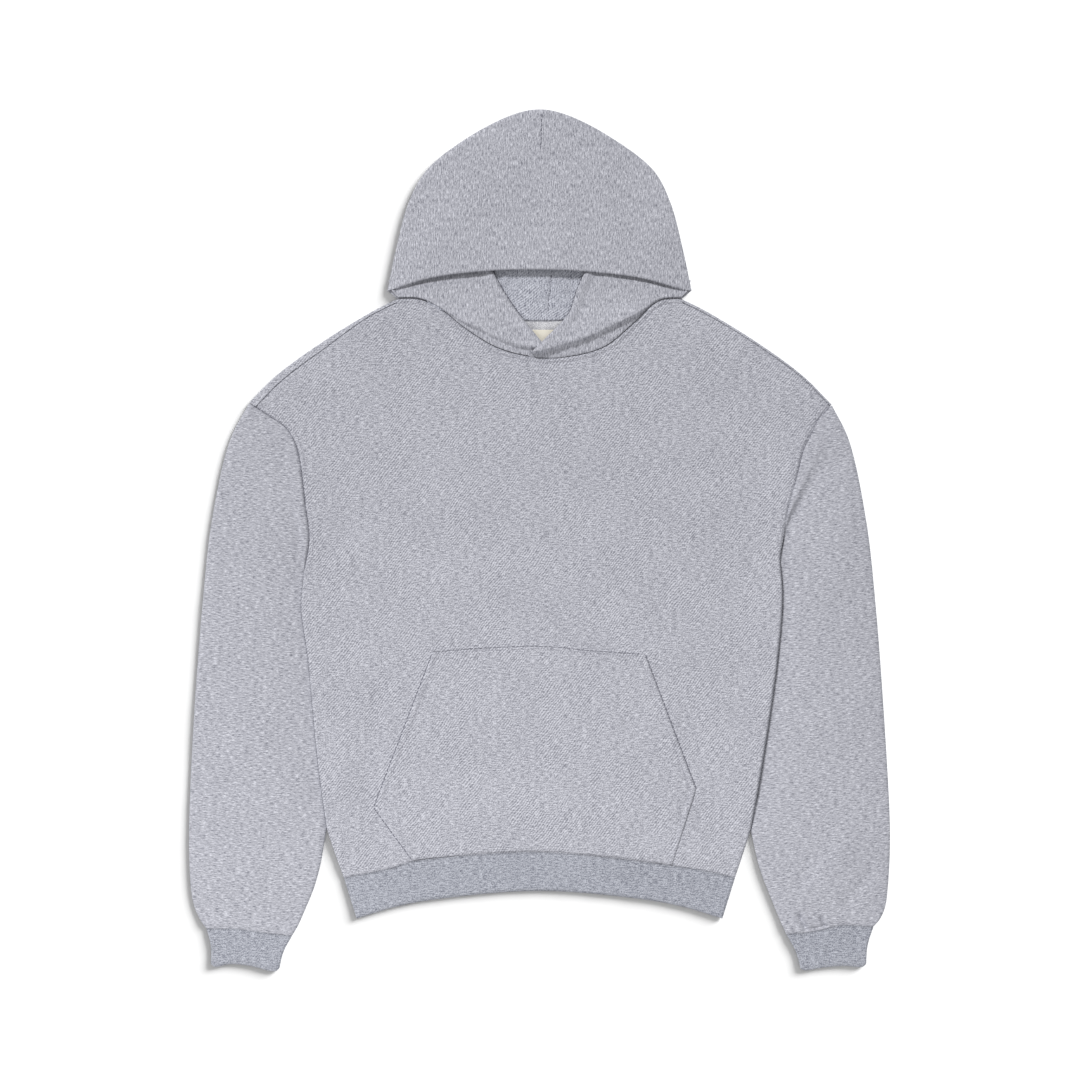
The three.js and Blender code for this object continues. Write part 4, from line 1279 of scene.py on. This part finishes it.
thread = plain_weave("thread", (0.4, 0.4, 0.45), (0.24, 0.24, 0.28), 0.6, 0.1)
# A near-black cloth for threads that paint the shade in seams and along edges
shade_thread_cloth = plain_weave("painted shade thread", (0.2, 0.2, 0.24), (0.1, 0.1, 0.13), 0.6, 0.05)

make_back_panel(fleece)
front_panel = make_front_panel(fleece)
pocket = make_pocket(fleece)
sleeves = {side: make_sleeve(side, sleeve_fleece) for side in SIDES}
make_rib_band("hem_rib", smooth_line(HEM_SEAM), smooth_line(HEM_EDGE), rib_cloth)
for side in SIDES:
    seam, edge = smooth_line(CUFF_SEAM[side]), smooth_line(CUFF_EDGE[side])
    make_rib_band(f"cuff_{side}", seam, edge, rib_cloth, bow=2.4)
hood_lining = make_hood_lining(lining)
make_neck_tape(tape_cloth)
make_neck_label(label_cloth)
hood_outer = make_hood_outer(hood_fleece)

front_surface = surface_of(front_panel)
pocket_surface = surface_of(pocket)
make_stitches("stitches_neck", smooth_line(FRONT_NECK).moved(-NECK_STITCHES), front_surface, thread)
for side, inward in (("left", -1), ("right", 1)):
    opening = Line(POCKET[side][1:]).moved(inward * POCKET_STITCHES)
    make_stitches(f"stitches_pocket_{side}", opening, pocket_surface, thread)
    # a dark thread paints the shade in the crease along the pocket's edge
    edge = straight_line(POCKET_SHADE_SIDES[side]).moved(-inward * POCKET_EDGE_OUT)
    make_shade_thread(f"pocket_shade_line_{side}", edge, front_surface, SHADE_THREAD_RADIUS["pocket"])
pocket_top = smooth_line(POCKET["top"])
make_stitches("stitches_pocket_top", pocket_top.part(0.03, 0.97).moved(-POCKET_TOP_STITCHES),
              pocket_surface, thread)
# a dark thread paints the shade in the crease under the pocket's top edge
make_shade_thread("pocket_shade_line_top", pocket_top.moved(POCKET_TOP_EDGE_OUT), front_surface,
                 SHADE_THREAD_RADIUS["pocket top"])
for side, outward in (("left", -1), ("right", 1)):
    row = smooth_line(ARMHOLE[side]).part(0.06, 0.95).moved(outward * ARMHOLE_STITCHES)
    make_stitches(f"stitches_armhole_{side}", row, front_surface, thread)
# A dark thread in each armhole seam paints the shade of its groove
for side in SIDES:
    seam = smooth_line(ARMHOLE[side]).part(0.02, 0.99)
    make_shade_thread(f"armhole_seam_shade_{side}", seam, surface_of(sleeves[side]), SHADE_THREAD_RADIUS["armhole"])
lining_surface = surface_of(hood_lining)
# Dark threads paint the shade of the lining's seam and of the crown seam
make_shade_thread("lining_seam_shade", smooth_line(LINING_SEAM), lining_surface, SHADE_THREAD_RADIUS["lining"])
make_shade_thread("crown_seam_shade", smooth_line(CROWN_SEAM), surface_of(hood_outer), SHADE_THREAD_RADIUS["crown"])
# A dark thread on the lining under each lip's opening edge paints the shadow that the lip casts there
for side, over_lining in (("left", -1), ("right", 1)):
    lip_shade_line = smooth_line(LIP[side]["opening"]).part(*LIP_SHADE_SHOWN[side])
    lip_shade_line = lip_shade_line.moved(over_lining * LIP_EDGE_OUT)
    make_shade_thread(f"lip_shade_line_{side}", lip_shade_line, lining_surface, SHADE_THREAD_RADIUS["lip"])

# The ground, the lights and the camera

GROUND_WIDTH = 8
GROUND_DROP = 0.0004
bpy.ops.mesh.primitive_plane_add(size=GROUND_WIDTH, location=(0, 0, -GROUND_DROP))
ground = bpy.context.object
ground.name = "ground"
ground.data.materials.append(floor_material())


def add_light(name, kind, strength):
    light = bpy.data.lights.new(name, kind)
    light.energy = strength
    obj = bpy.data.objects.new(name, light)
    bpy.context.collection.objects.link(obj)
    return obj


def sun(name, azimuth, elevation, strength, softness):
    """A sun whose light comes from an azimuth, counted from +X towards +Y, and an elevation."""
    obj = add_light(name, "SUN", strength)
    obj.data.angle = math.radians(softness)
    obj.rotation_euler = (0, math.radians(90 - elevation), math.radians(azimuth))
    return obj


def lights_only(light, name, objects):
    """The light falls on these objects alone, and every object still casts its shadow."""
    lit = bpy.data.collections.new(name)
    for obj in objects:
        lit.objects.link(obj)
    light.light_linking.receiver_collection = lit


def near_lamp(name, place, target, size, strength):
    """A square lamp beside the garment, which faces a target."""
    obj = add_light(name, "AREA", strength)
    obj.data.size = size
    obj.location = place
    aim = Vector(target) - Vector(place)
    obj.rotation_euler = aim.to_track_quat("-Z", "Y").to_euler()
    return obj


cloth_key = sun("key", azimuth=122, elevation=48, strength=2.3, softness=10)
near_light = near_lamp("near light", (-0.35, -0.85, 1.0), (-0.05, 0, 0), size=0.7, strength=5.4)
ground_key = sun("ground key", azimuth=42, elevation=20, strength=7.0, softness=34)
cloth = [obj for obj in bpy.context.collection.objects if obj.type == "MESH" and obj != ground]
lights_only(cloth_key, "lit by the key", cloth)
lights_only(near_light, "lit by the near light", cloth)
lights_only(ground_key, "lit by the ground key", [ground])

world = bpy.data.worlds.new("soft light all round")
world.use_nodes = True
background = world.node_tree.nodes["Background"]
background.inputs["Color"].default_value = (1, 1, 1, 1)
background.inputs["Strength"].default_value = 0.46
bpy.context.scene.world = world
bpy.context.scene.view_settings.view_transform = "Standard"

# The width that the picture takes in, and the camera's place, half a pixel to the right of the middle
PICTURE_WIDTH = 1188
CAMERA_HEIGHT = 3.0
CAMERA_RIGHT = 0.00055
camera_data = bpy.data.cameras.new("camera")
camera_data.sensor_width = 36
camera_data.lens = camera_data.sensor_width * CAMERA_HEIGHT / (PICTURE_WIDTH * MM)
camera = bpy.data.objects.new("camera", camera_data)
camera.location = (CAMERA_RIGHT, 0, CAMERA_HEIGHT)
bpy.context.collection.objects.link(camera)
bpy.context.scene.camera = camera
